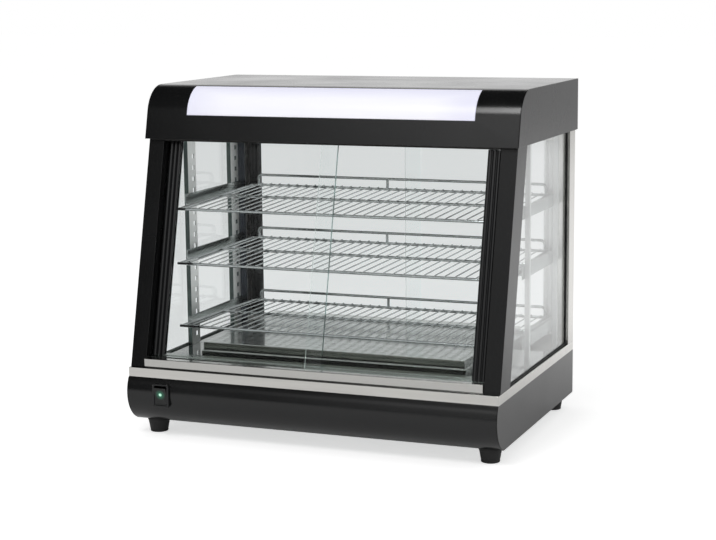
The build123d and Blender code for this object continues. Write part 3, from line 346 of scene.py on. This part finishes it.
def light_diffuser():
    """White diffuser, lavender towards its ends and its top, away from the lamps behind it."""
    panel = Finish("light_diffuser")
    low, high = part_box("light_panel")
    place = panel.split(panel.place)
    ends = panel.ramp(panel.math("ABSOLUTE", place["X"]), 0.7 * high.x, high.x, 0.0, 1.0)
    rows = panel.ramp(place["Z"], low.z + 0.7 * (high.z - low.z), high.z, 0.0, 1.0)
    cloud = panel.ramp(panel.noise(4.0), 0.35, 0.65, 0.0, 0.35)
    cool = panel.math("MINIMUM", 1.0, panel.math("ADD", cloud, panel.math("MAXIMUM", ends, rows)))
    panel.set(
        Base_Color=panel.tint(cool, (0.90, 0.90, 0.95), (0.76, 0.76, 0.88)),
        Roughness=panel.ramp(panel.noise(500.0), 0.3, 0.7, 0.28, 0.36),
        Emission_Color=panel.tint(cool, (0.98, 0.98, 1.0), (0.86, 0.86, 1.0)),
        Emission_Strength=0.30,
    )


def mottled(name, first, second, rough, scale=30.0, metallic=0.0):
    """Even finish with mottled colour and roughness and a fine grain."""
    finish = Finish(name)
    cloud = finish.noise(scale)
    finish.set(
        Base_Color=finish.tint(cloud, first, second),
        Metallic=metallic,
        Roughness=finish.ramp(cloud, 0.3, 0.7, *rough),
    )
    finish.bump(finish.noise(20 * scale), 0.00002)


def lit_lens(centre):
    """Green pilot lens, whitish where the lamp behind it shows and dark green at its rim."""
    lens = Finish("green_lens")
    away = lens.ramp(lens.distance_from(centre), 0.0014, 0.0034, 0.0, 1.0)
    grain = lens.noise(900.0)
    lens.set(
        Base_Color=lens.tint(grain, (0.02, 0.22, 0.10), (0.04, 0.32, 0.16)),
        Roughness=0.12,
        Emission_Color=lens.tint(away, (0.75, 1.0, 0.88), (0.01, 0.22, 0.10)),
        Emission_Strength=0.85,
    )


def rocker_plastic(centre):
    """Smooth dark plastic that takes a green glow round the lens."""
    plastic = Finish("rocker_plastic")
    near = plastic.ramp(plastic.distance_from(centre), 0.0025, 0.0095, 1.0, 0.0)
    cloud = plastic.noise(90.0)
    plastic.set(
        Base_Color=plastic.tint(cloud, (0.003, 0.0036, 0.0033), (0.005, 0.006, 0.0055)),
        Roughness=plastic.ramp(cloud, 0.3, 0.7, 0.14, 0.22),
        Emission_Color=plastic.tint(near, (0.0, 0.0, 0.0), (0.02, 0.12, 0.07)),
        Emission_Strength=1.0,
    )


# Brush direction: stretch is small along the lines
ALONG_X = (0.01, 1, 1)
ALONG_Z = (1, 1, 0.01)
ALL_WAYS = (1, 1, 1)

# Colours, and where along Y the front groove of the sill track starts
DEEP_BLACK = (0.0045, 0.0047, 0.0050)
SOFT_BLACK = (0.0070, 0.0073, 0.0075)
LIGHT_STEEL = (0.68, 0.67, 0.64)
DARK_STEEL = (0.52, 0.51, 0.49)
LIGHT_ZINC = (0.50, 0.53, 0.52)
DARK_ZINC = (0.34, 0.37, 0.36)
BRIGHT_ZINC = (0.82, 0.83, 0.82)
GREY_ZINC = (0.64, 0.65, 0.64)
# Painted shade on the faces towards the front of the left uprights and of the left rear post
ZINC_FRONT_PAINTED_SHADE = (0.07, 0.09, 0.085)
POST_FRONT_PAINTED_SHADE = (0.03, 0.034, 0.04)
LIGHT_POLISH = (0.60, 0.62, 0.60)
DARK_POLISH = (0.30, 0.33, 0.32)
# Painted shade, with streaks: the heater cover's faces towards the front and the deck's top faces
COVER_FRONT_PAINTED_SHADE = ((0.36, 0.37, 0.32), (0.17, 0.185, 0.165))
DECK_TOP_PAINTED_SHADE = ((0.36, 0.37, 0.36), (0.24, 0.25, 0.245))
SATIN_TRACK = (0.58, 0.58, 0.56)
# Painted shade: the front head track, dark all over where it lies under the canopy
TRACK_PAINTED_SHADE = (0.05, 0.05, 0.05)
PALE_TRACK = (0.90, 0.90, 0.89)
# Painted shade in the grooves of the front sill track
SILL_GROOVE_PAINTED_SHADE = (0.26, 0.29, 0.27)
SILL_GROOVE_START = (-0.214, -0.210)
# Cut edges of the panes: the pale ones are painted light, the dark one is painted shade, the green one is the
# glass's own colour
PALE_CUT_PAINTED_LIGHT = (0.90, 0.97, 0.94)
DARK_CUT_PAINTED_SHADE = (0.10, 0.20, 0.18)
FAINT_CUT_PAINTED_LIGHT = (0.95, 0.98, 0.97)
GREEN_CUT = (0.50, 0.78, 0.70)

# Parts of the switch that its finishes are centred on: pivot, and the middle of the rocker's face
ROCKER_TILT = math.radians(8.0)
ROCKER_FRONT = 0.00872  # pivot to the raised ends
ROCKER_DIP = 0.0022
LENS_RISE = 0.003
rocker_pivot = Vector(joint_of["rocker_tilt"]["pos_m"])


def on_rocker(x, depth, height):
    """Point given about the rocker's pivot, turned to where the rocker rests."""
    turned = Matrix.Rotation(ROCKER_TILT, 3, "X") @ Vector((0, depth, height))
    return rocker_pivot + Vector((x, 0, 0)) + turned


lens_centre = on_rocker(0, ROCKER_DIP - ROCKER_FRONT, LENS_RISE)

# Finishes of the slots, and their variants
black_paint("black_paint", DEEP_BLACK, SOFT_BLACK, (0.16, 0.23))
black_paint("satin_paint", DEEP_BLACK, DEEP_BLACK, (0.22, 0.30), 0.35)
brushed("stainless", LIGHT_STEEL, DARK_STEEL, ALONG_X, (0.22, 0.34), 0.000005)
brushed("track_aluminium", SATIN_TRACK, DARK_STEEL, ALONG_X, (0.12, 0.2), 0.000003)
grooved_track("sill_track", SATIN_TRACK, DARK_STEEL, SILL_GROOVE_PAINTED_SHADE, (0.12, 0.2))
# Front head track: aluminium coloured dark, as painted shade
brushed("head_track_painted_shade", TRACK_PAINTED_SHADE, TRACK_PAINTED_SHADE, ALONG_X, (0.12, 0.2), 0.000003)
brushed("drawn_aluminium", PALE_TRACK, BRIGHT_ZINC, ALONG_Z, (0.3, 0.4), 0.000002)
# Heater cover and deck: painted shade on their front and top faces
floor_steel("cover_steel", LIGHT_POLISH, DARK_POLISH, COVER_FRONT_PAINTED_SHADE, "Y", -1, (0.10, 0.16))
floor_steel("deck_steel", LIGHT_STEEL, DARK_STEEL, DECK_TOP_PAINTED_SHADE, "Z", 1, (0.04, 0.08))
brushed("zinc_steel", LIGHT_ZINC, DARK_ZINC, ALONG_X, (0.14, 0.24), 0.000003)
brushed("bright_zinc", BRIGHT_ZINC, GREY_ZINC, ALONG_Z, (0.3, 0.4), 0.000002)
# Left uprights and left rear post: copies with painted shade on their faces towards the front
paint_front_shade("shaded_zinc", BRIGHT_ZINC, GREY_ZINC, ZINC_FRONT_PAINTED_SHADE, (0.3, 0.4))
brushed("post_steel", LIGHT_STEEL, DARK_STEEL, ALONG_Z, (0.2, 0.3), 0.000005)
paint_front_shade("shaded_post", LIGHT_STEEL, DARK_STEEL, POST_FRONT_PAINTED_SHADE, (0.2, 0.3))
chrome_wire()
# Front right pane and rear panes: pale cut edges and a glow, painted light; front left pane: dark cut edges,
# painted shade
clear_glass("clear_glass", "Y", PALE_CUT_PAINTED_LIGHT, 1.22, 0.14)
clear_glass("glass_painted_dark_edge", "Y", DARK_CUT_PAINTED_SHADE, 1.22)
clear_glass("glass_painted_pale_edge", "Y", FAINT_CUT_PAINTED_LIGHT, 1.22, 0.08)
clear_glass("side_glass", "X", GREEN_CUT, 1.30)
clear_glass("veiled_glass", "X", GREEN_CUT, 1.60)
black_plastic("black_plastic", ALL_WAYS, 2200.0, (0.28, 0.38))
black_plastic("drawn_plastic", ALONG_Z, 1800.0, (0.13, 0.19))
dull_rubber("black_rubber", (0.007, 0.007, 0.007), (0.018, 0.018, 0.018))
# Left side gasket: a lighter grey copy of the black rubber, painted light
dull_rubber("gasket_rubber_painted_light", (0.10, 0.12, 0.115), (0.15, 0.17, 0.165))
light_diffuser()
lit_lens(lens_centre)
rocker_plastic(lens_centre)
mottled("pale_plastic", (0.70, 0.67, 0.58), (0.78, 0.75, 0.67), (0.4, 0.55))
mottled("element_steel", (0.10, 0.09, 0.08), (0.22, 0.19, 0.17), (0.4, 0.6), metallic=1.0)
mottled("copper_tube", (0.62, 0.30, 0.18), (0.75, 0.42, 0.28), (0.25, 0.4), metallic=1.0)
mottled("screw_steel", (0.48, 0.48, 0.48), (0.6, 0.6, 0.6), (0.25, 0.4), 90.0, metallic=1.0)
mottled("lead_sleeve", (0.55, 0.52, 0.46), (0.68, 0.65, 0.58), (0.7, 0.85))
mottled("circuit_board", (0.78, 0.80, 0.79), (0.86, 0.87, 0.86), (0.35, 0.5))

# Nodes whose finish is a variant of their slot's finish
finish_variants = {
    "front_pillar_left": "satin_paint",
    "front_pillar_right": "satin_paint",
    "canopy_end_left": "satin_paint",
    "canopy_end_right": "satin_paint",
    "heater_cover": "cover_steel",
    "deck": "deck_steel",
    "front_sill_track": "sill_track",
    "front_head_track": "head_track_painted_shade",
    "shelf_upright_front_left": "shaded_zinc",
    "shelf_upright_front_right": "bright_zinc",
    "shelf_upright_rear_left": "shaded_zinc",
    "shelf_upright_rear_right": "bright_zinc",
    "rear_post_left": "shaded_post",
    "rear_post_right": "post_steel",
    "front_door_glass_left": "glass_painted_dark_edge",
    "rear_door_glass_left": "glass_painted_pale_edge",
    "rear_door_glass_right": "glass_painted_pale_edge",
    "rear_door_edge_right": "drawn_aluminium",
    "front_door_edge_left": "drawn_plastic",
    "front_door_edge_right": "drawn_plastic",
    "rear_door_edge_left": "drawn_plastic",
    "side_gasket_left": "gasket_rubber_painted_light",
    "side_glass_left": "side_glass",
    "side_glass_right": "veiled_glass",
}


def finish_of(node):
    return finishes[finish_variants.get(node, slot_of[node])]


for name, node in nodes.items():
    node.data.materials.clear()
    node.data.materials.append(finish_of(name))

# Mesh work: vertices nearer than this are one, flatter edges are dissolved, sharper ones are rounded
MERGE = 0.00001
FLAT = math.radians(1.0)
SHARP = math.radians(35.0)


def add_piece(name, mesh, finish, body, slot, *replaced):
    """New piece of the object, on a body, in place of CAD nodes."""
    piece = bpy.data.objects.new(name, mesh)
    bpy.context.scene.collection.objects.link(piece)
    mesh.materials.clear()
    mesh.materials.append(finish)
    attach(piece, body)
    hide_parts(*replaced)
    return piece


def merged(name):
    """Mesh of a CAD node with its vertices joined and its flat faces whole."""
    work = bmesh.new()
    work.from_mesh(nodes[name].data)
    bmesh.ops.remove_doubles(work, verts=work.verts, dist=MERGE)
    bmesh.ops.dissolve_limit(work, angle_limit=FLAT, verts=work.verts, edges=work.edges)
    return work


def to_mesh(work, name):
    """Mesh from mesh work, smooth except at sharp edges."""
    mesh = bpy.data.meshes.new(name)
    bmesh.ops.recalc_face_normals(work, faces=work.faces)
    work.to_mesh(mesh)
    work.free()
    if "custom_normal" in mesh.attributes:
        mesh.attributes.remove(mesh.attributes["custom_normal"])
    mesh.shade_smooth()
    mesh.set_sharp_from_angle(angle=SHARP)
    return mesh


def round_edges(piece, width, segments):
    """Round a piece's sharp edges, and keep its flat faces flat to the eye."""
    bevel = piece.modifiers.new("rounded", "BEVEL")
    bevel.width = width
    bevel.segments = segments
    bevel.limit_method = "ANGLE"
    bevel.angle_limit = SHARP
    bevel.use_clamp_overlap = False
    bevel.harden_normals = True


def soften(name, width, segments=2):
    """Show a CAD node by a copy whose sharp edges are rounded."""
    mesh = to_mesh(merged(name), f"{name}_soft")
    mesh.shade_smooth()
    piece = add_piece(f"{name}_soft", mesh, finish_of(name), body_of[name], slot_of[name], name)
    round_edges(piece, width, segments)


def islands(name):
    """Points of each separate solid of a node."""
    work = merged(name)
    left = set(range(len(work.verts)))
    work.verts.ensure_lookup_table()
    groups = []
    for start in range(len(work.verts)):
        if start not in left:
            continue
        left.remove(start)
        group = [work.verts[start]]
        for vert in group:
            for edge in vert.link_edges:
                other = edge.other_vert(vert)
                if other.index in left:
                    left.remove(other.index)
                    group.append(other)
        groups.append([vert.co.copy() for vert in group])
    work.free()
    return groups


def corners(points):
    """Lowest and highest corner of some points."""
    axes = list(zip(*points))
    return Vector([min(axis) for axis in axes]), Vector([max(axis) for axis in axes])


def turn(work, rings, sides, place, axis):
    """Add a turned form: rings are pairs of a radius, or a radius by angle, and a height along the axis."""
    matrix = Vector(axis).to_track_quat("Z", "Y").to_matrix()
    loops = []
    for radius, height in rings:
        loop = []
        for index in range(sides):
            angle = 2 * math.pi * index / sides
            reach = radius(angle) if callable(radius) else radius
            spot = Vector((reach * math.cos(angle), reach * math.sin(angle), height))
            loop.append(work.verts.new(Vector(place) + matrix @ spot))
        loops.append(loop)
    for first, second in zip(loops, loops[1:]):
        for index in range(sides):
            after = (index + 1) % sides
            work.faces.new((first[index], first[after], second[after], second[index]))
    bmesh.ops.remove_doubles(work, verts=work.verts, dist=MERGE / 10)


def loft(sections, name):
    """Mesh through sections with as many points each, closed at both ends."""
    work = bmesh.new()
    loops = [[work.verts.new(point) for point in section] for section in sections]
    for first, second in zip(loops, loops[1:]):
        for index in range(len(first)):
            after = (index + 1) % len(first)
            work.faces.new((first[index], first[after], second[after], second[index]))
    for end in (loops[0], loops[-1]):
        work.faces.new(end)
    return to_mesh(work, name)


# Rounded edges of the CAD nodes: radius in metres
SOFT_EDGES = {
    0.0004: (
        "base_fascia", "base_side_left", "base_side_right", "base_back_panel", "base_pan",
        "canopy_shell", "canopy_end_left", "canopy_end_right", "canopy_back", "canopy_ceiling",
        "deck", "rear_post_left", "rear_post_right",
        "shelf_brackets_top", "shelf_brackets_middle", "shelf_brackets_bottom",
        "shelf_upright_front_left", "shelf_upright_front_right",
        "shelf_upright_rear_left", "shelf_upright_rear_right",
    ),
    0.0006: (
        "front_head_track", "rear_sill_track", "rear_head_track",
        "front_pillar_left", "front_pillar_right", "light_panel", "switch_body",
        "thermostat_knob", "cord_gland", "side_gasket_left", "side_gasket_right",
    ),
    0.0009: (
        "front_sill_track", "heater_cover",
    ),
    0.0008: (
        "side_glass_left", "side_glass_right", "front_door_glass_left", "front_door_glass_right",
        "rear_door_glass_left", "rear_door_glass_right",
    ),
}
for width, names in SOFT_EDGES.items():
    for name in names:
        soften(name, width)

# Door edges: extruded profiles with round flutes on both faces and a slot for the pane
EDGE_DEPTH = 0.013
FLUTES = 3
FLUTE_GAP = 0.0009
FLUTE_RISE = 0.0026
FLUTE_STEPS = 10
PANE_ENTRY = 0.016
PANE_SLOT = 0.0054


def fluted_outline(width):
    """Section of a door edge: distance from the pane's side, and depth from the front."""
    pitch = (width + FLUTE_GAP) / FLUTES
    front = []
    for flute in range(FLUTES):
        for step in range(FLUTE_STEPS + 1):
            angle = math.pi * step / FLUTE_STEPS
            across = flute * pitch + (pitch - FLUTE_GAP) * (1 - math.cos(angle)) / 2
            front.append((across, FLUTE_RISE * (1 - math.sin(angle))))
    rear = [(across, EDGE_DEPTH - depth) for across, depth in reversed(front)]
    slot = [(EDGE_DEPTH + PANE_SLOT) / 2, (EDGE_DEPTH - PANE_SLOT) / 2]
    return front + rear + [(0, slot[0]), (PANE_ENTRY, slot[0]), (PANE_ENTRY, slot[1]), (0, slot[1])]


for place in ("front", "rear"):
    for side, sign in (("left", -1), ("right", 1)):
        name = f"{place}_door_edge_{side}"
        low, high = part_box(name)
        slope = (high.y - low.y - EDGE_DEPTH) / (high.z - low.z)
        near = low.x if sign > 0 else high.x
        outline = fluted_outline(high.x - low.x)
        sections = [
            [(near + sign * across, low.y + depth + slope * (z - low.z), z) for across, depth in outline]
            for z in (low.z, high.z)
        ]
        mesh = loft(sections, f"{name}_fluted")
        add_piece(f"{name}_fluted", mesh, finish_of(name), body_of[name], slot_of[name], name)

# Rocker: a hollowed face and a round lens in its middle
ROCKER_BACK = 0.008
ROCKER_BACK_HALF = 0.008
ROCKER_HALF_HEIGHT = 0.01559
ROCKER_HALF_WIDTH = 0.01125
ROCKER_ROUND = 0.0006
FACE_STEPS = 12
LENS_STEPS = 6
LENS_SIDES = 32
LENS_RADIUS = 0.003
LENS_DOME = 0.0009
LENS_FOOT = 0.0015

face = []
for step in range(FACE_STEPS + 1):
    share = 2 * step / FACE_STEPS - 1
    face.append((ROCKER_DIP * (1 - share**2) - ROCKER_FRONT, share * ROCKER_HALF_HEIGHT))
rocker_outline = face + [(ROCKER_BACK, ROCKER_BACK_HALF), (ROCKER_BACK, -ROCKER_BACK_HALF)]
rocker_sections = [
    [on_rocker(x, depth, height) for depth, height in rocker_outline]
    for x in (-ROCKER_HALF_WIDTH, ROCKER_HALF_WIDTH)
]
rocker_mesh = loft(rocker_sections, "rocker_hollowed")
rocker_mesh.shade_smooth()
rocker = add_piece(
    "rocker_hollowed", rocker_mesh, finishes["rocker_plastic"], "rocker", "black_plastic", "switch_rocker"
)
round_edges(rocker, ROCKER_ROUND, 3)

work = bmesh.new()
lens_rings = [(0.0, -LENS_FOOT), (LENS_RADIUS, -LENS_FOOT)]
for step in range(LENS_STEPS + 1):
    angle = math.pi / 2 * step / LENS_STEPS
    lens_rings.append((LENS_RADIUS * math.cos(angle), LENS_DOME * math.sin(angle)))
lens_axis = on_rocker(0, -1, 0) - rocker_pivot
turn(work, lens_rings, LENS_SIDES, lens_centre, lens_axis)
add_piece(
    "switch_lens_round", to_mesh(work, "switch_lens_round"), finishes["green_lens"],
    "rocker", "green_lens", "switch_lens",
)

# Feet: turned rubber with a lip, a ring near the ground and a well for the bolt, as radius and height
FOOT_SIDES = 64
FOOT_RINGS = [
    (0.00650, 0.0140), (0.00650, 0.0008), (0.00730, 0.0000), (0.01380, 0.0000), (0.01500, 0.0004),
    (0.01560, 0.0014), (0.01560, 0.0030), (0.01520, 0.0036), (0.01525, 0.0042), (0.01580, 0.0048),
    (0.01830, 0.0190), (0.01850, 0.0200), (0.01920, 0.0206), (0.01950, 0.0216), (0.01950, 0.0252),
    (0.01910, 0.0260), (0.00275, 0.0260), (0.00275, 0.0140), (0.00650, 0.0140),
]
work = bmesh.new()
for points in islands("feet"):
    low, high = corners(points)
    turn(work, FOOT_RINGS, FOOT_SIDES, ((low.x + high.x) / 2, (low.y + high.y) / 2, low.z), (0, 0, 1))
feet_mesh = to_mesh(work, "feet_turned")
add_piece("feet_turned", feet_mesh, finishes["black_rubber"], "case", "black_rubber", "feet")

# Screws: pan heads with a cross recess
SCREW_SIDES = 48
SCREW_HEAD = 0.004
SCREW_CROWN = 0.0024  # radius of the head's flat top
SCREW_RIM = 0.0004  # height of the head's straight rim
SCREW_SHANK = 0.002
SCREW_TIP = 0.0006
SCREW_HEAD_HEIGHT = 0.0022
HEAD_STEPS = 5
RECESS_REACH = 0.0021
RECESS_HALF = 0.00045
RECESS_DEPTH = 0.0013


def cross(scale):
    """Radius by angle of a cross-shaped recess."""

    def radius(angle):
        across, along = abs(math.cos(angle)), abs(math.sin(angle))
        arms = []
        for first, second in ((across, along), (along, across)):
            arms.append(min(RECESS_REACH / max(first, 1e-6), RECESS_HALF / max(second, 1e-6)))
        return scale * max(arms)

    return radius


def screw_rings(length):
    """Rings of a screw from the floor of its recess to its tip, with the top of its head at zero."""
    rings = [(0.0, -RECESS_DEPTH), (cross(0.6), -RECESS_DEPTH), (cross(1.0), -0.0001), (SCREW_CROWN, 0.0)]
    for step in range(1, HEAD_STEPS + 1):
        angle = math.pi / 2 * step / HEAD_STEPS
        drop = (SCREW_HEAD_HEIGHT - SCREW_RIM) * (1 - math.cos(angle))
        rings.append((SCREW_CROWN + (SCREW_HEAD - SCREW_CROWN) * math.sin(angle), -drop))
    rings += [(SCREW_HEAD, -SCREW_HEAD_HEIGHT), (SCREW_SHANK, -SCREW_HEAD_HEIGHT)]
    return rings + [(SCREW_SHANK, SCREW_TIP - length), (SCREW_SHANK * 0.7, -length), (0.0, -length)]


def screw_place(points):
    """Top of a screw's head, the direction that its head faces, and its length."""
    low, high = corners(points)
    size, middle = high - low, (low + high) / 2
    axis = max(range(3), key=lambda index: size[index])
    outward = Vector((0, 0, 0))
    outward[axis] = 1
    rim = max(points, key=lambda point: (point - middle).cross(outward).length)
    if rim[axis] < middle[axis]:
        outward.negate()
    return middle + outward * size[axis] / 2, outward, size[axis]


for name in ("base_screws", "canopy_screws"):
    work = bmesh.new()
    for points in islands(name):
        top, outward, length = screw_place(points)
        turn(work, screw_rings(length), SCREW_SIDES, top, outward)
    mesh = to_mesh(work, f"{name}_crossed")
    add_piece(f"{name}_crossed", mesh, finishes["screw_steel"], "case", "screw_steel", name)

# Knob: a pointer line on its face, and printed marks on the panel round it
MARK_THICKNESS = 0.00015
MARK_COUNT = 10
MARK_TURN = math.radians(30.0)
FIRST_MARK = math.radians(-45.0)  # from straight down, as seen from behind
MARK_INNER = 0.0205
MARK_OUTER = 0.0235
MARK_WIDTH = 0.0010
POINTER_INNER = 0.004
POINTER_OUTER = 0.0125
POINTER_WIDTH = 0.0016
knob_centre = Vector(joint_of["knob_turn"]["pos_m"])


def dial_mark(work, inner, outer, width, angle, face):
    """Add a thin bar that points away from the knob's axis, on a face that looks to the back."""
    along = Vector((-math.sin(angle), 0, -math.cos(angle)))
    across = Vector((math.cos(angle), 0, -math.sin(angle)))
    half = across * width / 2
    spots = [along * inner - half, along * outer - half, along * outer + half, along * inner + half]
    rings = []
    for y in (face, face + MARK_THICKNESS):
        centre = Vector((knob_centre.x, y, knob_centre.z))
        rings.append([work.verts.new(centre + spot) for spot in spots])
    for index in range(4):
        after = (index + 1) % 4
        work.faces.new((rings[0][index], rings[0][after], rings[1][after], rings[1][index]))
    for ring in rings:
        work.faces.new(ring)


work = bmesh.new()
knob_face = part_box("thermostat_knob")[1].y - MARK_THICKNESS
dial_mark(work, POINTER_INNER, POINTER_OUTER, POINTER_WIDTH, FIRST_MARK, knob_face)
add_piece("knob_pointer", to_mesh(work, "knob_pointer"), finishes["pale_plastic"], "knob", "pale_plastic")
work = bmesh.new()
panel_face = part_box("base_back_panel")[1].y
for index in range(MARK_COUNT):
    angle = FIRST_MARK - index * MARK_TURN
    dial_mark(work, MARK_INNER, MARK_OUTER, MARK_WIDTH, angle, panel_face)
add_piece("dial_marks", to_mesh(work, "dial_marks"), finishes["pale_plastic"], "case", "pale_plastic")


def add_camera():
    """Camera at the photograph's viewing angle."""
    data = bpy.data.cameras.new("camera")
    data.sensor_fit = "HORIZONTAL"
    data.sensor_width = SENSOR_WIDTH
    data.lens = CAMERA_FOCUS * SENSOR_WIDTH / IMAGE_WIDTH
    data.shift_x = (IMAGE_WIDTH / 2 - CAMERA_CENTRE[0]) / IMAGE_WIDTH
    data.shift_y = (CAMERA_CENTRE[1] - IMAGE_HEIGHT / 2) / IMAGE_WIDTH
    data.clip_start = 0.05
    data.clip_end = 100.0
    turned = Matrix.Rotation(math.radians(CAMERA_TURN), 3, "Z")
    pitched = Matrix.Rotation(math.radians(CAMERA_PITCH), 3, "X")
    rolled = Matrix.Rotation(math.radians(CAMERA_ROLL), 3, "Y")
    right, forward, up = (turned @ pitched @ rolled).transposed()
    camera = bpy.data.objects.new("camera", data)
    bpy.context.scene.collection.objects.link(camera)
    axes = Matrix((right, up, -forward)).transposed().to_4x4()
    camera.matrix_world = Matrix.Translation(CAMERA_PLACE) @ axes
    bpy.context.scene.camera = camera


def add_world():
    """Soft light from all round. To the eye it is white, and a mirror shows a white backdrop behind the
    case and at its sides, a pale wall low at the front right, brighter at its top, and elsewhere an unlit
    studio."""
    world = bpy.data.worlds.new("world")
    world.use_nodes = True
    sky = Nodes(world.node_tree)
    output = sky.node("ShaderNodeOutputWorld")
    path = sky.node("ShaderNodeLightPath").outputs
    x, y, z = sky.split(sky.node("ShaderNodeTexCoord").outputs["Generated"])
    behind = sky.ramp(y, *BACKDROP_DEPTH, 0.0, 1.0)
    backdrop = sky.math("MULTIPLY", behind, sky.ramp(z, *BACKDROP_TOP, 1.0, 0.0))
    wall = sky.math("MULTIPLY", sky.ramp(x, *WALL_SIDE, 0.0, 1.0), sky.ramp(z, *WALL_TOP, 1.0, 0.0))
    studio = sky.blend(wall, STUDIO_DARK, sky.ramp(z, *WALL_BRIGHT, STUDIO_PALE, STUDIO_BRIGHT))
    mirrored = sky.blend(backdrop, studio, 1.0)
    unseen = sky.blend(path["Is Glossy Ray"], AMBIENT, mirrored)
    through = sky.blend(path["Is Transmission Ray"], unseen, THROUGH_GLASS)
    strength = sky.blend(path["Is Camera Ray"], through, 1.0)
    values = {"Color": (1.0, 1.0, 1.0, 1.0), "Strength": strength}
    sky.join(sky.node("ShaderNodeBackground", values).outputs[0], output.inputs["Surface"])
    bpy.context.scene.world = world


def add_lamp(name, place, size, watts):
    """Square soft lamp that faces the middle of the case."""
    data = bpy.data.lights.new(name, "AREA")
    data.size = size
    data.energy = watts
    lamp = bpy.data.objects.new(name, data)
    bpy.context.scene.collection.objects.link(lamp)
    lamp.location = place
    lamp.rotation_euler = (Vector(LAMP_TARGET) - Vector(place)).to_track_quat("-Z", "Y").to_euler()


def add_floor():
    """White floor that keeps the case's shadow. A mirror shows it dark far in front and bright behind."""
    mesh = bpy.data.meshes.new("floor")
    spots = [(across * FLOOR_REACH, along * FLOOR_REACH, 0) for across, along in FLOOR_CORNERS]
    mesh.from_pydata(spots, [], [(0, 1, 2, 3)])
    floor = bpy.data.objects.new("floor", mesh)
    bpy.context.scene.collection.objects.link(floor)
    floor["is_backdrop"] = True
    finish = Finish("floor")
    cloud = finish.noise(0.8)
    path = finish.node("ShaderNodeLightPath").outputs
    y = finish.split(finish.place)["Y"]
    far = finish.ramp(y, *FLOOR_DARK, 1.0, 0.0)
    white = finish.tint(cloud, (0.83, 0.83, 0.83), (0.86, 0.86, 0.86))
    start = finish.ramp(y, *BRIGHT_START, 0.0, 1.0)
    behind = finish.math("MULTIPLY", start, finish.ramp(y, *BRIGHT_END, 1.0, 0.0))
    bright = finish.blend(behind, MIRROR_GLOW, BACK_GLOW)
    mirrored = finish.math("MULTIPLY", path["Is Glossy Ray"], finish.blend(far, bright, 0.0))
    seen = finish.blend(far, FLOOR_GLOW, 1.0)
    dimmed = finish.math("SUBTRACT", seen, 1.0 - THROUGH_GLASS)
    through = finish.blend(path["Is Transmission Ray"], mirrored, dimmed)
    finish.set(
        Base_Color=finish.tint(far, white, (0.04, 0.04, 0.04)),
        Roughness=0.9,
        Specular_IOR_Level=0.0,
        Emission_Color=(1.0, 1.0, 1.0),
        Emission_Strength=finish.blend(path["Is Camera Ray"], through, seen),
    )
    mesh.materials.append(finish.material)


add_camera()
add_world()
add_floor()
for name, values in LAMPS.items():
    add_lamp(name, **values)
bpy.context.scene.view_settings.view_transform = "Standard"

low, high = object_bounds()
